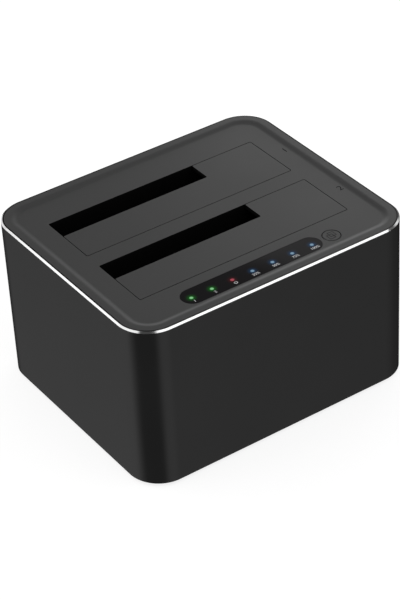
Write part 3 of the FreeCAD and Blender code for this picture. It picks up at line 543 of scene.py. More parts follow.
def solids_of(cad_node):
    """Low and high corner, in mm, of each separate solid in a CAD node."""
    shape = bmesh.new()
    shape.from_mesh(frame["nodes"][cad_node].data)
    bmesh.ops.remove_doubles(shape, verts=shape.verts, dist=PACKED_MERGE * MM)
    waiting = set(shape.verts)
    boxes = []
    while waiting:
        found = [waiting.pop()]
        for vert in found:
            for edge in vert.link_edges:
                other = edge.other_vert(vert)
                if other in waiting:
                    waiting.remove(other)
                    found.append(other)
        low = Vector([min(v.co[i] for v in found) for i in range(3)]) / MM
        high = Vector([max(v.co[i] for v in found) for i in range(3)]) / MM
        boxes.append((low, high))
    shape.free()
    return sorted(boxes, key=lambda b: tuple(round(c, 2) for c in b[0]))


print(len(solids_of("rubber_feet")), "separate solids in the feet's node")

# %% [markdown]
# ## The sleeve
#
# The real sleeve is a length of extruded tube, blasted and anodised black. After anodising, its
# top edge is cut at 45 degrees with a diamond tool, which leaves bare, bright metal. Its shape is
# one profile carried round a rounded rectangle, so a tree sweeps that profile. The same tree
# makes the rim of the cover.


# %% Sweep tree
def sweep_tree():
    tree, sizes = new_tree("profile_round_the_plan", {
        "Width": "Float", "Depth": "Float", "Corner Radius": "Float", "Corner Steps": "Int",
        "Material": "Material",
    })
    plan = node(tree, "GeometryNodeCurvePrimitiveQuadrilateral", {"mode": "RECTANGLE"},
                {"Width": sizes["Width"], "Height": sizes["Depth"]}).outputs[0]
    rounded = node(tree, "GeometryNodeFilletCurve", {"mode": "POLY"}, {
        "Curve": plan, "Count": sizes["Corner Steps"], "Radius": sizes["Corner Radius"],
    }).outputs[0]
    upright = node(tree, "GeometryNodeSetCurveNormal", {"mode": "Z_UP"}, {"Curve": rounded}).outputs[0]
    section = node(tree, "GeometryNodeMeshToCurve", None, {"Mesh": sizes["Geometry"]}).outputs[0]
    swept = node(tree, "GeometryNodeCurveToMesh", None,
                 {"Curve": upright, "Profile Curve": section}).outputs[0]
    close_tree(tree, swept, sizes["Material"])
    return tree


SWEEP = sweep_tree()
print("sweep tree with", len(SWEEP.nodes), "nodes")

# %% [markdown]
# ### The sleeve's two finishes
#
# Blasting leaves fine, even dimples, so the black is satin and shows no direction. Dyed anodising
# over blasted metal mirrors its surroundings dimly and without colour, so it is a metal with a
# very dark base. The cut edge is bare aluminium, far smoother than the blasted face beside it.

# %% Sleeve finishes
anodised = worked_surface(
    "blasted_black_anodised_aluminium", colour="353535", worn="5a5a5c", roughness=0.22,
    grain=0.22, relief=0.006, metallic=1.0, tint="d8d8d8", edge=0.25, drift=0.05,
)
cut_metal = worked_surface(
    "diamond_cut_aluminium", colour="dedede", worn="e6e6e6", roughness=0.16,
    grain=0.12, relief=0.0006, metallic=1.0, edge=0.1, drift=0.02,
)
print(anodised.name, "and", cut_metal.name)

# %% [markdown]
# ### The sleeve itself
#
# The tube's wall is thinned at both ends, where the cover and the base plate sit in it. The
# opening for the ports is milled, so it is cut out of the swept tube.

# %% Sleeve sizes
# All in mm, as are the other sizes that stand without MM.
SLEEVE_CORNER = 15.0
CORNER_STEPS = 28       # faces round each corner
WALL = 2.4
RIM_WALL = 1.2          # wall left beside the cover and the base plate
EDGE_CUT = 0.68         # width of the bright cut
FOOT_BREAK = 0.4        # sharp bottom edge broken
COVER_THICK = 2.8
BASE_THICK = 2.5
PORT_W, PORT_H, PORT_R = 62.0, 18.6, 2.0    # opening for the ports, and its corner
PORT_BELOW = 2.0        # its top edge under the port panel's
MILL_IN, MILL_DEEP = 6.0, 10.0      # the cutter starts this far in, and goes this deep
HAIR = 0.01             # how near two levels have to be to be the same
OVERRUN = 1.0           # how far a cutter goes past what it cuts
FULL_ROUND = 0.001      # how much the corner of a round block stays under half its width

sleeve_low, sleeve_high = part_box("aluminium_shell")
body_w = (sleeve_high.x - sleeve_low.x) / MM
body_d = (sleeve_high.y - sleeve_low.y) / MM
sleeve_z = sleeve_low.z / MM
rim_z = sleeve_high.z / MM
PLAN = {
    "Width": body_w * MM, "Depth": body_d * MM,
    "Corner Radius": SLEEVE_CORNER * MM, "Corner Steps": CORNER_STEPS,
}
print("sleeve", round(body_w, 2), "x", round(body_d, 2), "mm, rim at", round(rim_z, 2), "mm")

# %% Blocks and cuts
def prism_mesh(w, d, r, z0, z1, x=0.0, y=0.0, steps=10):
    """Upright block with rounded corners: width, depth, corner, bottom, top, and its middle's place."""
    rim = []
    for turn, (sx, sy) in enumerate(((1, 1), (-1, 1), (-1, -1), (1, -1))):
        for i in range(steps + 1):
            a = math.radians(90 * turn + 90 * i / steps)
            rim.append((x + sx * (w / 2 - r) + r * math.cos(a), y + sy * (d / 2 - r) + r * math.sin(a)))
    count = len(rim)
    places = [(px * MM, py * MM, z * MM) for z in (z0, z1) for px, py in rim]
    sides = [(i, (i + 1) % count, count + (i + 1) % count, count + i) for i in range(count)]
    ends = [tuple(reversed(range(count))), tuple(range(count, 2 * count))]
    mesh = bpy.data.meshes.new("block")
    mesh.from_pydata(places, [], sides + ends)
    return reworked(mesh, outward)


def joined(meshes):
    """One mesh of several."""
    shape = bmesh.new()
    for mesh in meshes:
        shape.from_mesh(mesh)
    whole = bpy.data.meshes.new("joined")
    shape.to_mesh(whole)
    shape.free()
    return whole


def cut(mesh, cutters):
    """The mesh less its cutters, which must not overlap each other."""
    piece = show("being_cut", mesh)
    tool = show("cutter", joined(cutters))
    boolean = piece.modifiers.new("cut", "BOOLEAN")
    boolean.operation = "DIFFERENCE"
    boolean.solver = "EXACT"
    boolean.object = tool
    result = evaluated(piece)
    bpy.data.objects.remove(piece)
    bpy.data.objects.remove(tool)
    return result


print("cutters go", OVERRUN, "mm past what they cut")

# %% Sleeve
def port_opening():
    """Cutter that goes through the back wall where the ports are."""
    port_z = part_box("rear_port_panel")[1].z / MM - PORT_BELOW - PORT_H / 2
    place = Vector((0, body_d / 2 - MILL_IN, port_z)) * MM
    opening = prism_mesh(PORT_W, PORT_H, PORT_R, 0, MILL_DEEP)
    opening.transform(Matrix.Translation(place) @ Matrix.Rotation(-math.pi / 2, 4, "X"))
    return opening


def is_bright_cut(face):
    """True for a face of the 45 degree cut round the top edge."""
    in_band = (rim_z - EDGE_CUT - HAIR) * MM < face.center.z < (rim_z - HAIR) * MM
    return in_band and 0.5 < face.normal.z < 0.9


def sleeve():
    cover_seat = rim_z - COVER_THICK
    base_seat = sleeve_z + BASE_THICK
    corners = [
        (FOOT_BREAK, sleeve_z), (0, sleeve_z + FOOT_BREAK), (0, rim_z - EDGE_CUT), (EDGE_CUT, rim_z),
        (RIM_WALL, rim_z), (RIM_WALL, cover_seat), (WALL, cover_seat), (WALL, base_seat),
        (RIM_WALL, base_seat), (RIM_WALL, sleeve_z),
    ]
    mesh = grow("sleeve", SWEEP, profile(corners), PLAN | {"Material": anodised})
    reworked(mesh, outward)
    mesh = dress(cut(mesh, [port_opening()]), anodised)
    mesh.materials.append(cut_metal)
    for face in mesh.polygons:
        face.material_index = int(is_bright_cut(face))
    piece = soften(show("sleeve", mesh), 0)
    return fit(piece, "aluminium_shell")


sleeve_piece = sleeve()
print("sleeve has", len(sleeve_piece.data.polygons), "faces")

# %% [markdown]
# ## The cover
#
# The cover is one ABS moulding: a flat rim, a soft step down, and a middle a little lower. The
# step follows a curve that begins and ends level, so no line shows in it. The rim and step are
# swept like the sleeve. The flat middle closes the sweep, and then the bays, the window pocket and
# the button hole are cut through. Under the plate, the skirt, the bosses and the pin blocks are
# those of the frame. Moulded ABS has a fine spark-eroded texture that spreads its gloss wide.

# %% Cover finish
black_abs = worked_surface(
    "textured_black_abs", colour="333333", worn="444445", roughness=0.45,
    grain=0.30, relief=0.010, ior=1.53, specular=0.5, edge=0.2, drift=0.04,
)
# Painted shade: a far darker black ABS for the walls round the bays and the cover's underside, where
# shade falls. It also fills the inner black ABS slot.
inner_and_shaded_abs = worked_surface(
    "plain_black_abs", colour="090909", worn="0d0d0d", roughness=0.6,
    grain=0.6, relief=0.008, ior=1.53, specular=0.03, edge=0.1, drift=0.12,
)
print(black_abs.name, "and", inner_and_shaded_abs.name)

# %% Cover sizes
SEAT_GAP = 0.1          # between the cover and the sleeve
DISH = 0.8              # how far the middle lies below the rim
STEP_IN = 3.65          # where the soft step begins, in from the sleeve's outside
STEP_RUN = 3.9          # how wide it is
STEP_TURNS = 24         # faces across the step
BAY_W, BAY_D, BAY_R = 103.6, 30.2, 0.8
FLAP_GAP = 0.3
BUTTON_R, BUTTON_GAP = 3.8, 0.3
POCKET_GAP = 0.1        # round the window
WALL_REACH = 0.1        # how far outside a bay's edge its walls still count as the bay's

dish_z = rim_z - DISH
cover_under = rim_z - COVER_THICK
window_low, window_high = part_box("led_window")
window_mid = (window_low + window_high) / 2 / MM
window_l = (window_high.x - window_low.x) / MM
window_d = (window_high.y - window_low.y) / MM
button_low, button_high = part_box("clone_button")
button_mid = (button_low + button_high) / 2 / MM
bay_front = {bay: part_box("bay_flap_" + bay)[0].y / MM - FLAP_GAP for bay in "ab"}
bay_mid = {bay: front + BAY_D / 2 for bay, front in bay_front.items()}
print("bays at y", [round(mid, 2) for mid in bay_mid.values()], "mm")

# %% Soft step and the cover's faces
def step_profile():
    """Inset and height along the soft step, from the rim down to the dish."""
    steps = []
    for i in range(STEP_TURNS + 1):
        t = i / STEP_TURNS
        drop = t * t * t * (t * (6 * t - 15) + 10)
        steps.append((STEP_IN + STEP_RUN * t, rim_z - DISH * drop))
    return steps


def darken_walls(mesh, face_finish):
    """Given finish on what faces up; painted shade, a far darker ABS, on the walls round a bay and on
    the underside.
    """
    dress(mesh, face_finish)
    mesh.materials.append(inner_and_shaded_abs)
    for face in mesh.polygons:
        beside_bay = (abs(face.center.x) < (BAY_W / 2 + WALL_REACH) * MM
                      and face.center.y > (bay_front["b"] - WALL_REACH) * MM)
        if (face.normal.z < 0.5 and beside_bay) or face.center.z < (cover_under + HAIR) * MM:
            face.material_index = 1
    return mesh


def is_under(face):
    """True for a face of the cover's underside, or of what hangs below it."""
    return face.calc_center_bounds().z < (cover_under + HAIR) * MM


def is_underside(face):
    """True for a face of the flat underside itself."""
    return is_under(face) and face.normal.z < -0.9


def drop_faces(shape, unwanted):
    """Takes the unwanted faces out of a bmesh."""
    bmesh.ops.delete(shape, geom=[face for face in shape.faces if unwanted(face)], context="FACES")


print("soft step of", len(step_profile()) - 1, "faces,", DISH, "mm deep")

# %% Cover
def close_plate(shape):
    """Closes the open middle of the swept rim, above and below."""
    bmesh.ops.remove_doubles(shape, verts=shape.verts, dist=MERGE * MM)
    open_edges = [edge for edge in shape.edges if edge.is_boundary]
    bmesh.ops.holes_fill(shape, edges=open_edges, sides=0)
    bmesh.ops.recalc_face_normals(shape, faces=shape.faces)


def cover_cutters():
    """Window pocket, button hole and the two bays."""
    top, bottom = rim_z + OVERRUN, cover_under - OVERRUN
    pocket = window_d + 2 * POCKET_GAP
    hole = BUTTON_R + BUTTON_GAP
    cutters = [
        prism_mesh(window_l + 2 * POCKET_GAP, pocket, pocket / 2, window_low.z / MM, top,
                   window_mid.x, window_mid.y, 20),
        prism_mesh(2 * hole, 2 * hole, hole - FULL_ROUND, bottom, top, button_mid.x, button_mid.y, 16),
    ]
    bays = [prism_mesh(BAY_W, BAY_D, BAY_R, bottom, top, 0, mid, 5) for mid in bay_mid.values()]
    return cutters + bays


def cover():
    inset = RIM_WALL + SEAT_GAP
    steps = step_profile()
    inner = steps[-1][0]
    corners = list(reversed(steps)) + [(inset, rim_z), (inset, cover_under), (inner, cover_under)]
    mesh = grow("cover", SWEEP, profile(corners, closed=False), PLAN | {"Material": black_abs})
    plate = cut(reworked(mesh, close_plate), cover_cutters())
    reworked(plate, lambda shape: drop_faces(shape, is_underside))
    under = merged_copy("top_cover")
    reworked(under, lambda shape: drop_faces(shape, lambda face: not is_under(face)))
    mesh = darken_walls(joined([plate, under]), black_abs)
    return fit(soften(show("cover", mesh), 0.12), "top_cover")


cover_piece = cover()
print("cover has", len(cover_piece.data.polygons), "faces")

# %% [markdown]
# ## Pieces that keep their CAD shape
#
# Small and inner pieces have their true shape in the frame already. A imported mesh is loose
# triangles, so each is copied, its points are merged and its flat faces are joined again. Then
# its edges can take a small rounding, and its finish is put on.


# %% Finishes for the inner pieces
METAL = {"metallic": 1.0}
OTHER_FINISHES = {
    # slot: name, colour, edge colour, roughness, grain, relief, and what else the recipe is told
    "black_rubber": ("moulded_black_rubber", "161616", "2a2a2a", 0.75, 0.5, 0.02,
                     {"ior": 1.52, "specular": 0.35}),
    "zinc_steel": ("zinc_plated_steel", "b9bcc0", "e6e8ea", 0.32, 0.25, 0.004, METAL),
    "bright_steel": ("ground_steel_pin", "c4c4c6", "e0e0e0", 0.22, 0.15, 0.002,
                     METAL | {"stretch": (0.05, 1, 1)}),
    "nickel_steel": ("nickel_plated_steel", "c9c5bd", "e8e6e0", 0.24, 0.4, 0.003, METAL),
    "gold_plated_contacts": ("gold_plated_contact", "e0b45a", "f4dc9a", 0.2, 0.2, 0.001,
                             METAL | {"edge": 0.1}),
    "white_ceramic": ("white_led_ceramic", "dcdcd6", "f0f0ea", 0.4, 0.3, 0.004, {}),
    "green_circuit_board": ("green_solder_mask", "14502e", "3a6a44", 0.32, 1.2, 0.02, {"ior": 1.52}),
    "black_epoxy": ("black_moulding_epoxy", "1b1b1c", "363636", 0.5, 0.25, 0.01, {}),
    "white_flat_cable": ("white_flat_cable", "d6d6d2", "e8e8e4", 0.42, 1.0, 0.05,
                         {"stretch": (1, 0.02, 0.02)}),
    "ivory_nylon": ("ivory_nylon", "cfc8b2", "e2dcc8", 0.5, 0.4, 0.006, {}),
    "black_nylon": ("black_glass_filled_nylon", "17171a", "2e2e30", 0.48, 0.35, 0.01, {}),
    "blue_nylon": ("blue_nylon", "2055b4", "4a7cc8", 0.42, 0.4, 0.006, {}),
    "capacitor_aluminium": ("drawn_capacitor_can", "c8cacc", "eceef0", 0.3, 0.3, 0.003,
                            METAL | {"stretch": (1, 1, 0.05)}),
    "grey_ferrite": ("pressed_grey_ferrite", "4a4a4c", "6e6e70", 0.7, 0.3, 0.02, {}),
}
FINISHES = {"black_abs": black_abs, "black_abs_inner": inner_and_shaded_abs}
for slot, (*recipe, extra) in OTHER_FINISHES.items():
    FINISHES[slot] = worked_surface(*recipe, **extra)
print(len(FINISHES), "finishes")

# %% Finished copies
def finished_copy(cad_node, width):
    """CAD node's merged copy in its slot's finish, with edges rounded by this width in mm."""
    mesh = dress(merged_copy(cad_node), FINISHES[slot_of[cad_node]])
    if cad_node.startswith("bay_flap"):
        # Painted shade on a flap's walls round its bay, as on the cover's.
        darken_walls(mesh, black_abs)
    return fit(soften(show("finished_" + cad_node, mesh), width), cad_node)


print(sorted(set(slot_of.values()) - set(FINISHES)), "are still to be finished")

# %% [markdown]
# ## Pieces that repeat
#
# Screws, feet, contacts and chips are each drawn once and copied by a tree to the places that the
# frame gives. Turned shapes come from a profile spun round an axis, as a lathe makes them.


# %% Copies at places
def copies_tree():
    tree, sizes = new_tree("copies_at_places", {"Places": "Object", "Material": "Material"})
    places = node(tree, "GeometryNodeObjectInfo", None, {"Object": sizes["Places"]}).outputs["Geometry"]
    laid = node(tree, "GeometryNodeInstanceOnPoints", None,
                {"Points": places, "Instance": sizes["Geometry"]}).outputs[0]
    close_tree(tree, laid, sizes["Material"])
    return tree


COPIES = copies_tree()
print("copies tree with", len(COPIES.nodes), "nodes")

# %% Copies and turned shapes
def repeated(cad_node, drawn, places):
    """One piece of copies of a drawn mesh at places in mm. It stands for a CAD node."""
    spots = show("spots", points([Vector(place) * MM for place in places]))
    finish = FINISHES[slot_of[cad_node]]
    mesh = grow("finished_" + cad_node, COPIES, drawn, {"Places": spots, "Material": finish})
    bpy.data.objects.remove(spots)
    return fit(soften(show(mesh.name, dress(mesh, finish)), 0), cad_node)


def turned(corners, steps=32):
    """Profile of (radius, height) corners in mm, from the axis back to the axis, spun round Z."""
    verts, rings = [], []
    for radius, height in corners:
        angles = [2 * math.pi * i / steps for i in range(steps if radius else 1)]
        rings.append([len(verts) + i for i in range(len(angles))])
        verts += [(radius * math.cos(a) * MM, radius * math.sin(a) * MM, height * MM) for a in angles]
    faces = []
    for lower, upper in zip(rings, rings[1:]):
        for i in range(steps):
            loop = [lower[i % len(lower)], lower[(i + 1) % len(lower)],
                    upper[(i + 1) % len(upper)], upper[i % len(upper)]]
            faces.append(tuple(dict.fromkeys(loop)))
    mesh = bpy.data.meshes.new("turned")
    mesh.from_pydata(verts, [], faces)
    return reworked(mesh, outward)


def round_corner(radius, height, size, count=5):
    """Profile corners of a quarter round of this size, which ends at (radius - size, height)."""
    turns = [math.pi / 2 * i / count for i in range(count + 1)]
    return [(radius - size + size * math.cos(a), height - size + size * math.sin(a)) for a in turns]


def middle_at(low, high, z):
    """Place over the middle of a box, at height z."""
    return ((low.x + high.x) / 2, (low.y + high.y) / 2, z)


print("a quarter round takes", len(round_corner(1, 1, 1)), "corners")

# %% [markdown]
# ### Screws
#
# Pan-head screws with a cross recess. The head is turned with a rounded shoulder, and the two
# slots of the cross are cut into it one after the other, because a cut takes no cutters that
# overlap.


# %% A screw
POINT = 0.5             # length of the tapered tip, in shank radii
SHOULDER = 0.62         # rounding of the head, in head heights
WING_LONG, WING_WIDE = 1.15, 0.24   # a slot of the cross, in head radii
WING_FLOOR = 0.35       # level of its floor, in head heights


def pan_head_screw(shank_r, length, head_r, head_h):
    """Screw with its head above the origin and its shank below."""
    point = POINT * shank_r
    corners = [(0, -length), (shank_r - point, -length), (shank_r, point - length), (shank_r, 0),
               (head_r, 0)]
    corners += round_corner(head_r, head_h, SHOULDER * head_h) + [(0, head_h)]
    wing, slot = WING_LONG * head_r, WING_WIDE * head_r
    screw = turned(corners)
    for along, across in ((wing, slot), (slot, wing)):
        recess = prism_mesh(along, across, slot / 4, WING_FLOOR * head_h, head_h + OVERRUN, steps=3)
        screw = cut(screw, [recess])
    return screw


print("a screw's cross is", round(WING_LONG, 2), "head radii long and", WING_WIDE, "wide")

# %% Screws
SCREWS = (
    # node, shank radius, head height, whether the head is at the lower end
    ("base_screws", 1.5, 2.0, True),
    ("board_screws", 1.0, 1.3, False),
    ("well_screws", 1.0, 1.3, True),
    ("led_board_screws", 1.0, 1.3, True),
)


def screws(cad_node, shank_r, head_h, head_low):
    """Screws of one kind at their places. Returns how many there are."""
    boxes = solids_of(cad_node)
    low, high = boxes[0]
    drawn = pan_head_screw(shank_r, high.z - low.z - head_h, (high.x - low.x) / 2, head_h)
    if head_low:
        drawn.transform(Matrix.Rotation(math.pi, 4, "X"))
    seats = [middle_at(a, b, a.z + head_h if head_low else b.z - head_h) for a, b in boxes]
    repeated(cad_node, drawn, seats)
    return len(seats)


for kind in SCREWS:
    print(kind[0], screws(*kind))

# %% [markdown]
# ### Feet, contacts and light chips
#
# The feet are moulded rubber discs with a rounded rim and a hollow middle, so that they grip by
# their rim. Each contact is a thin gold-plated strip that bows out of its wall and tucks its tip
# back in. Each light chip is a small white package with a round well for its die.


# %% Feet
FOOT_EDGE = 0.5         # rounding of the rim
FOOT_LAND = 1.6         # width of the ring that the foot stands on, with its rounding
FOOT_SLOPE = 0.6        # width of the slope into the hollow
FOOT_HOLLOW = 0.4       # depth of the hollow


def foot():
    """Foot hanging from the origin, as wide and high as the frame's."""
    low, high = solids_of("rubber_feet")[0]
    radius, height = (high.x - low.x) / 2, high.z - low.z
    rim = [(r, -h) for r, h in round_corner(radius, height, FOOT_EDGE)]
    hollow = [(radius - FOOT_LAND, -height), (radius - FOOT_LAND - FOOT_SLOPE, FOOT_HOLLOW - height),
              (0, FOOT_HOLLOW - height)]
    return turned([(0, 0), (radius, 0)] + rim + hollow, 48)


feet = [middle_at(a, b, b.z) for a, b in solids_of("rubber_feet")]
repeated("rubber_feet", foot(), feet)
print(len(feet), "feet")

# %% Contacts
CONTACT_THICK = 0.1
BOW_STEPS = 10          # faces along a contact


def contact(width, depth, height):
    """Bowed strip, its foot at the origin, its bow towards -Y."""
    bow = [(-(depth - CONTACT_THICK) * math.sin(math.pi * (i / BOW_STEPS) ** 2), height * i / BOW_STEPS)
           for i in range(BOW_STEPS + 1)]
    verts = []
    for y, z in bow:
        for x in (-width / 2, width / 2):
            verts += [(x * MM, y * MM, z * MM), (x * MM, (y - CONTACT_THICK) * MM, z * MM)]
    last = 4 * BOW_STEPS
    faces = [(0, 1, 3, 2), (last, last + 2, last + 3, last + 1)]
    for i in range(0, last, 4):
        faces += [(i, i + 4, i + 5, i + 1), (i + 2, i + 3, i + 7, i + 6), (i, i + 2, i + 6, i + 4),
                  (i + 1, i + 5, i + 7, i + 3)]
    mesh = bpy.data.meshes.new("contact")
    mesh.from_pydata(verts, [], faces)
    return reworked(mesh, outward)


for bay in "ab":
    boxes = solids_of("sata_contacts_" + bay)
    size = boxes[0][1] - boxes[0][0]
    roots = [((a.x + b.x) / 2, b.y, a.z) for a, b in boxes]
    repeated("sata_contacts_" + bay, contact(size.x, size.y, size.z), roots)
print(len(boxes), "contacts in each connector")

# %% Light chips
CHIP_CORNER = 0.25
WELL_FLOOR = 0.5        # level of the die well's floor, in chip heights
WELL_R, MOUTH_R = 0.9, 1.15     # its radius there and at the top

chip_boxes = solids_of("led_chips")
chip_size = chip_boxes[0][1] - chip_boxes[0][0]
chip_body = prism_mesh(chip_size.x, chip_size.y, CHIP_CORNER, 0, chip_size.z, steps=4)
floor_z, mouth_z = WELL_FLOOR * chip_size.z, chip_size.z + HAIR
die_well = turned([(0, floor_z), (WELL_R, floor_z), (MOUTH_R, mouth_z), (0, mouth_z)])
repeated("led_chips", cut(chip_body, [die_well]), [middle_at(a, b, a.z) for a, b in chip_boxes])
print(len(chip_boxes), "light chips")

# %% [markdown]
# ### Springs
#
# Each flap has a torsion spring of round wire on its hinge pin: a short coil with one leg under
# the flap and one against the well. The wire's path is a helix with a straight run at each end,
# and a tree carries a round section along it. When the flap turns, the real coil winds up between
# the leg that stays and the leg that goes with the flap; here the wire is made once where it sits.


# %% Wire tree
def wire_tree():
    tree, sizes = new_tree("round_wire", {"Wire Radius": "Float", "Material": "Material"})
    path = node(tree, "GeometryNodeMeshToCurve", None, {"Mesh": sizes["Geometry"]}).outputs[0]
    section = node(tree, "GeometryNodeCurvePrimitiveCircle", None,
                   {"Resolution": 12, "Radius": sizes["Wire Radius"]}).outputs[0]
    wire = node(tree, "GeometryNodeCurveToMesh", None,
                {"Curve": path, "Profile Curve": section, "Fill Caps": True}).outputs[0]
    close_tree(tree, wire, sizes["Material"])
    return tree


WIRE = wire_tree()
print("wire tree with", len(WIRE.nodes), "nodes")

# %% Springs
WIRE_R = 0.175
COIL_R = 1.15           # from the pin's axis to the middle of the wire
COIL_PITCH = 0.55
COIL_FROM, COIL_TO = -20.0, 1000.0      # degrees round the pin at which the legs leave the coil
COIL_STEPS = 85         # straight runs that stand for the coil
LEG_FRONT = 8.2         # the leg that stands against the well
LEG_UNDER = 6.96        # the leg under the flap


def spring(bay):
    """A flap's spring, wound from its CAD place. Returns how many faces it has."""
    cad_node = "flap_spring_" + bay
    pin_low, pin_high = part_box("flap_pin_" + bay)
    pin = (pin_low + pin_high) / 2 / MM
    drift = LEG_FRONT * COIL_PITCH / math.hypot(2 * math.pi * COIL_R, COIL_PITCH)
    start_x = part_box(cad_node)[0].x / MM + WIRE_R + drift

    def on_coil(degrees):
        """Point of the helix at this turn round the pin."""
        a = math.radians(degrees)
        along = COIL_PITCH * (degrees - COIL_FROM) / 360
        return Vector((start_x + along, pin.y + COIL_R * math.cos(a), pin.z + COIL_R * math.sin(a)))

    def heading(degrees):
        return (on_coil(degrees + 0.5) - on_coil(degrees - 0.5)).normalized()

    coil = [on_coil(COIL_FROM + (COIL_TO - COIL_FROM) * i / COIL_STEPS) for i in range(COIL_STEPS + 1)]
    path = [coil[0] - heading(COIL_FROM) * LEG_FRONT] + coil + [coil[-1] + heading(COIL_TO) * LEG_UNDER]
    line = bpy.data.meshes.new("wire_path")
    line.from_pydata([tuple(p * MM) for p in path], [(i, i + 1) for i in range(len(path) - 1)], [])
    finish = FINISHES[slot_of[cad_node]]
    mesh = grow("finished_" + cad_node, WIRE, line, {"Wire Radius": WIRE_R * MM, "Material": finish})
    piece = soften(show(mesh.name, dress(mesh, finish)), 0, 50)
    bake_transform(piece)
    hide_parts(cad_node)
    return len(mesh.polygons)


print("springs with", spring("a"), "and", spring("b"), "faces")

# %% [markdown]
# ### The other pieces
#
# Flaps, wells, boards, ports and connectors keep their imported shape. Those that are seen from
# outside or through a bay get a small rounding on their edges, as moulded and drawn parts have.

# %% The other pieces
ROUNDED = {
    # node and width of the rounding in mm
    "bay_flap_a": 0.12, "bay_flap_b": 0.12, "clone_button": 0.25,
    "base_plate": 0.15, "rear_port_panel": 0.15,
    "drive_well_a": 0.15, "drive_well_b": 0.15, "usb_port": 0.12, "dc_jack": 0.12, "power_button": 0.1,
}
made_otherwise = {kind[0] for kind in SCREWS} | {
    "aluminium_shell", "top_cover", "led_window",
    "light_pipes_green", "light_pipe_red", "light_pipes_blue", "led_chips",
    "rubber_feet", "sata_contacts_a", "sata_contacts_b", "flap_spring_a", "flap_spring_b",
}
for cad_node in sorted(set(frame["nodes"]) - made_otherwise):
    finished_copy(cad_node, ROUNDED.get(cad_node, 0))
print(len(frame["nodes"]) - len(made_otherwise), "merged copies")

# %% [markdown]
# ## The status window and its lights
#
# The window is smoked acrylic over a row of light pipes. Acrylic is glossy and nearly black here.
# Each lit pipe's light is painted on the smoked sheet round it, as a glow of its own colour, and its
# face is much paler than that halo. The halo is a soft spot of painted glow about each pipe, repeated by
# the pipes' pitch.

# %% Lights
LED_PITCH = 9.9
PIPE_R = 0.9
HALO_R = 3.0
HALO_FULL = 0.4         # share of a pipe's radius within which its halo is full
HALO_STRENGTH = 0.4
CORE = 0.5              # share of a pipe's radius within which its face is brightest
LIGHTS = (
    # node, halo, middle and rim of the lit face, number of lights
    ("light_pipes_green", "006a10", "7cba83", "1a8428", 2),
    ("light_pipe_red", "4a0a10", "9c3042", "781420", 1),
    ("light_pipes_blue", "0a3a60", "6a889e", "2c5878", 4),
)
LIGHT_COUNT = sum(light[-1] for light in LIGHTS)
first_low, first_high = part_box("light_pipes_green")
first_x = first_low.x / MM + PIPE_R
pipe_y = (first_low.y + first_high.y) / 2 / MM


def from_nearest_light(tree, place):
    """Sockets: which light a point belongs to, counted in pitches, and its distance from that light."""
    axes = node(tree, "ShaderNodeSeparateXYZ", None, {0: place}).outputs
    from_row = maths(tree, "SUBTRACT", axes["X"], (first_x - LED_PITCH / 2) * MM)
    steps = maths(tree, "DIVIDE", from_row, LED_PITCH * MM)
    from_pipe = maths(tree, "SUBTRACT", maths(tree, "FRACT", steps), 0.5)
    across = maths(tree, "MULTIPLY", from_pipe, LED_PITCH * MM)
    along = maths(tree, "SUBTRACT", axes["Y"], pipe_y * MM)
    squares = [maths(tree, "MULTIPLY", side, side) for side in (across, along)]
    return steps, maths(tree, "SQRT", maths(tree, "ADD", *squares))


print(LIGHT_COUNT, "lights, the first at", round(first_x, 2), round(pipe_y, 2))

# %% Smoked acrylic
HAZE_SIZE = 2.0         # mm over which the window's gloss drifts
WINDOW_ROUGHNESS = (0.06, 0.10)


def halo_colours(tree, steps):
    """Socket with the halo's colour of the light that a point belongs to."""
    share = maths(tree, "DIVIDE", steps, float(LIGHT_COUNT))
    ramp = node(tree, "ShaderNodeValToRGB", None, {"Fac": share})
    ramp.color_ramp.interpolation = "CONSTANT"
    stops = ramp.color_ramp.elements
    passed = 0
    for index, (_, halo, _, _, number) in enumerate(LIGHTS):
        stop = stops[index] if index < len(stops) else stops.new(passed / LIGHT_COUNT)
        stop.position = passed / LIGHT_COUNT
        stop.color = linear(halo)
        passed += number
    return ramp.outputs["Color"]


def smoked_acrylic():
    """Nearly black, glossy sheet, with a painted glow of each light's colour round it."""
    material = bpy.data.materials.new("smoked_acrylic")
    tree = blank(material)
    place = node(tree, "ShaderNodeTexCoord").outputs["Object"]
    steps, apart = from_nearest_light(tree, place)
    # Painted glow: each light's halo is emission on the sheet itself.
    spot = remap(tree, apart, PIPE_R * HALO_FULL * MM, HALO_R * MM, 1.0, 0.0, "SMOOTHERSTEP")
    glow = mixed_colour(tree, spot, (0, 0, 0, 1), halo_colours(tree, steps))
    haze = noise(tree, place, HAZE_SIZE, 2.0)
    gloss = remap(tree, haze.outputs["Fac"], 0.0, 1.0, *WINDOW_ROUGHNESS)
    shader = node(tree, "ShaderNodeBsdfPrincipled", None, {
        "Base Color": linear("1b1a1b"), "Roughness": gloss, "IOR": 1.49, "Specular IOR Level": 0.08,
        "Emission Color": glow, "Emission Strength": HALO_STRENGTH,
    })
    node(tree, "ShaderNodeOutputMaterial", None, {"Surface": shader.outputs[0]})
    return material


print("halos fade from", round(PIPE_R * HALO_FULL, 2), "to", HALO_R, "mm")

# %% Lit acrylic
def lit_acrylic(name, middle, rim):
    """Clear acrylic light pipe with its face lit from below: brightest at its middle."""
    material = bpy.data.materials.new(name)
    tree = blank(material)
    place = node(tree, "ShaderNodeTexCoord").outputs["Object"]
    apart = from_nearest_light(tree, place)[1]
    fade = remap(tree, apart, PIPE_R * CORE * MM, PIPE_R * MM, curve="SMOOTHSTEP")
    glow = mixed_colour(tree, fade, linear(middle), linear(rim))
    shader = node(tree, "ShaderNodeBsdfPrincipled", None, {
        "Base Color": linear("202020"), "Roughness": 0.25, "IOR": 1.49,
        "Emission Color": glow, "Emission Strength": 1.0,
    })
    node(tree, "ShaderNodeOutputMaterial", None, {"Surface": shader.outputs[0]})
    return material


print("a lit face is brightest within", round(PIPE_R * CORE, 2), "mm")

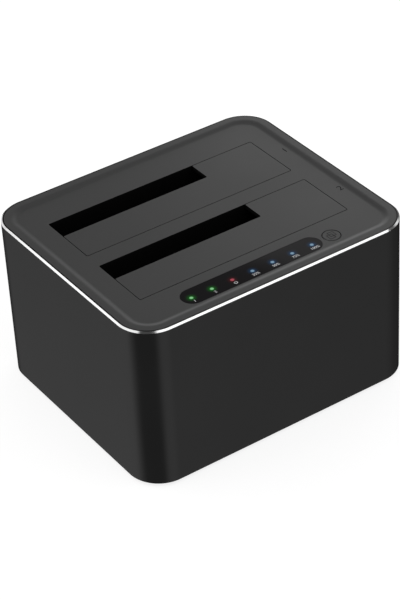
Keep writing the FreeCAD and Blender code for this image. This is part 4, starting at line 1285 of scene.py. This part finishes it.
# %% Window and light pipes
FINISHES["smoked_acrylic"] = smoked_acrylic()
finished_copy("led_window", 0.1)
for pipe, _, middle, rim, _ in LIGHTS:
    FINISHES[slot_of[pipe]] = lit_acrylic("lit_" + pipe, middle, rim)
    finished_copy(pipe, 0.05)
print("window over", len(LIGHTS), "colours of light")

# %% [markdown]
# ## Legends
#
# The printed legends are generic: bay numbers, a power symbol and progress figures beside their
# lights, a bay number at the right of each bay, and two overlapping squares, for copying, on the
# button. Text is made a mesh first, then scaled by its own measured height, so the figures have a
# real size in millimetres.


# %% Printed figures
INK = 0.02              # thickness of the print


def figures(words, height):
    """Mesh of a word with figures of this height in mm, its middle at the origin."""
    curve = bpy.data.curves.new("words", "FONT")
    curve.body = words
    curve.extrude = 0.5
    holder = show("words", curve)
    mesh = evaluated(holder)
    bpy.data.objects.remove(holder)
    across = [v.co.x for v in mesh.vertices]
    upward = [v.co.y for v in mesh.vertices]
    middle = Vector((min(across) + max(across), min(upward) + max(upward), 0)) / 2
    scale = height * MM / (max(upward) - min(upward))
    mesh.transform(Matrix.Diagonal((scale, scale, INK * MM, 1)) @ Matrix.Translation(-middle))
    return mesh


def ink(name, colour, roughness=0.5, specular=0.5):
    """Thin, slightly uneven print."""
    return worked_surface(name, colour, colour, roughness, grain=0.15, relief=0.003, specular=specular,
                          edge=0.05, drift=0.08)


print("print is", INK, "mm thick")

# %% Printed lines and their places
def drawn_line(corners, width, closed=False):
    """Flat printed line through corners in mm, with round ends."""
    curve = bpy.data.curves.new("line", "CURVE")
    curve.dimensions = "3D"
    spline = curve.splines.new("POLY")
    spline.points.add(len(corners) - 1)
    for point, (x, y) in zip(spline.points, corners):
        point.co = (x * MM, y * MM, 0, 1)
    spline.use_cyclic_u = closed
    curve.bevel_depth = width / 2 * MM
    curve.bevel_resolution = 2
    curve.use_fill_caps = True
    holder = show("line", curve)
    mesh = evaluated(holder)
    bpy.data.objects.remove(holder)
    mesh.transform(Matrix.Diagonal((1, 1, INK / width, 1)))
    return mesh


def power_symbol(size, width, opening=70, low=0.12, high=0.58, steps=20):
    """Ring with an opening at its top, in degrees, and a stroke in it from low to high, in sizes."""
    start, end = 90 + opening / 2, 450 - opening / 2
    turns = [math.radians(start + (end - start) * i / steps) for i in range(steps + 1)]
    ring = [(size / 2 * math.cos(a), size / 2 * math.sin(a)) for a in turns]
    return joined([drawn_line(ring, width), drawn_line([(0, size * low), (0, size * high)], width)])


def placed(mesh, x, y, z):
    """Copy of a mesh moved to a place in mm."""
    moved = mesh.copy()
    moved.transform(Matrix.Translation(Vector((x, y, z)) * MM))
    return moved


def printed(name, meshes, finish, body):
    """Piece of print that rides on a body, in the finish that it is given."""
    piece = soften(show(name, dress(joined(meshes), finish)), 0)
    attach(piece, body)
    return piece


print("the window stands", round(window_high.z / MM - dish_z, 2), "mm above the cover's middle")

# %% Window legends
LEGEND_H = 1.4
LEGEND_OUT = 2.5        # middle of a legend toward the front from the middle of its light
LEGENDS = ("1", "2", None, "25%", "50%", "75%", "100%")     # None is the power symbol
SYMBOL_LINE = 0.22

print_z = window_high.z / MM + INK / 4
legends = []
for index, words in enumerate(LEGENDS):
    shape = figures(words, LEGEND_H) if words else power_symbol(LEGEND_H, SYMBOL_LINE)
    legends.append(placed(shape, first_x + LED_PITCH * index, pipe_y - LEGEND_OUT, print_z))
white_ink = ink("white_screen_print", "d6d6d8")
printed("window_legends", legends, white_ink, "chassis")
print(len(legends), "legends")

# %% Bay marks
MARK_H = 3.2
MARK_X = 59.2

mark_ink = ink("dark_pad_print", "0a0a0a", 0.7, 0.1)
marks = [placed(figures(str(number), MARK_H), MARK_X, mid, dish_z + INK / 4)
         for number, mid in enumerate(bay_mid.values(), 1)]
printed("bay_marks", marks, mark_ink, "chassis")
print(len(marks), "bay marks")

# %% Copy symbol
SQUARE_W, SQUARE_H = 2.6, 2.9
SQUARE_LINE = 0.38
SQUARES = ((-1.9, -2.1), (-0.7, -0.8))  # low corner of each square, from the button's middle

symbol_z = button_high.z / MM + INK / 4
squares = []
for x, y in SQUARES:
    left, front = button_mid.x + x, button_mid.y + y
    corners = [(left, front), (left + SQUARE_W, front), (left + SQUARE_W, front + SQUARE_H),
               (left, front + SQUARE_H)]
    squares.append(placed(drawn_line(corners, SQUARE_LINE, closed=True), 0, 0, symbol_z))
printed("copy_symbol", squares, mark_ink, "clone_key")
print(len(squares), "squares on the button")
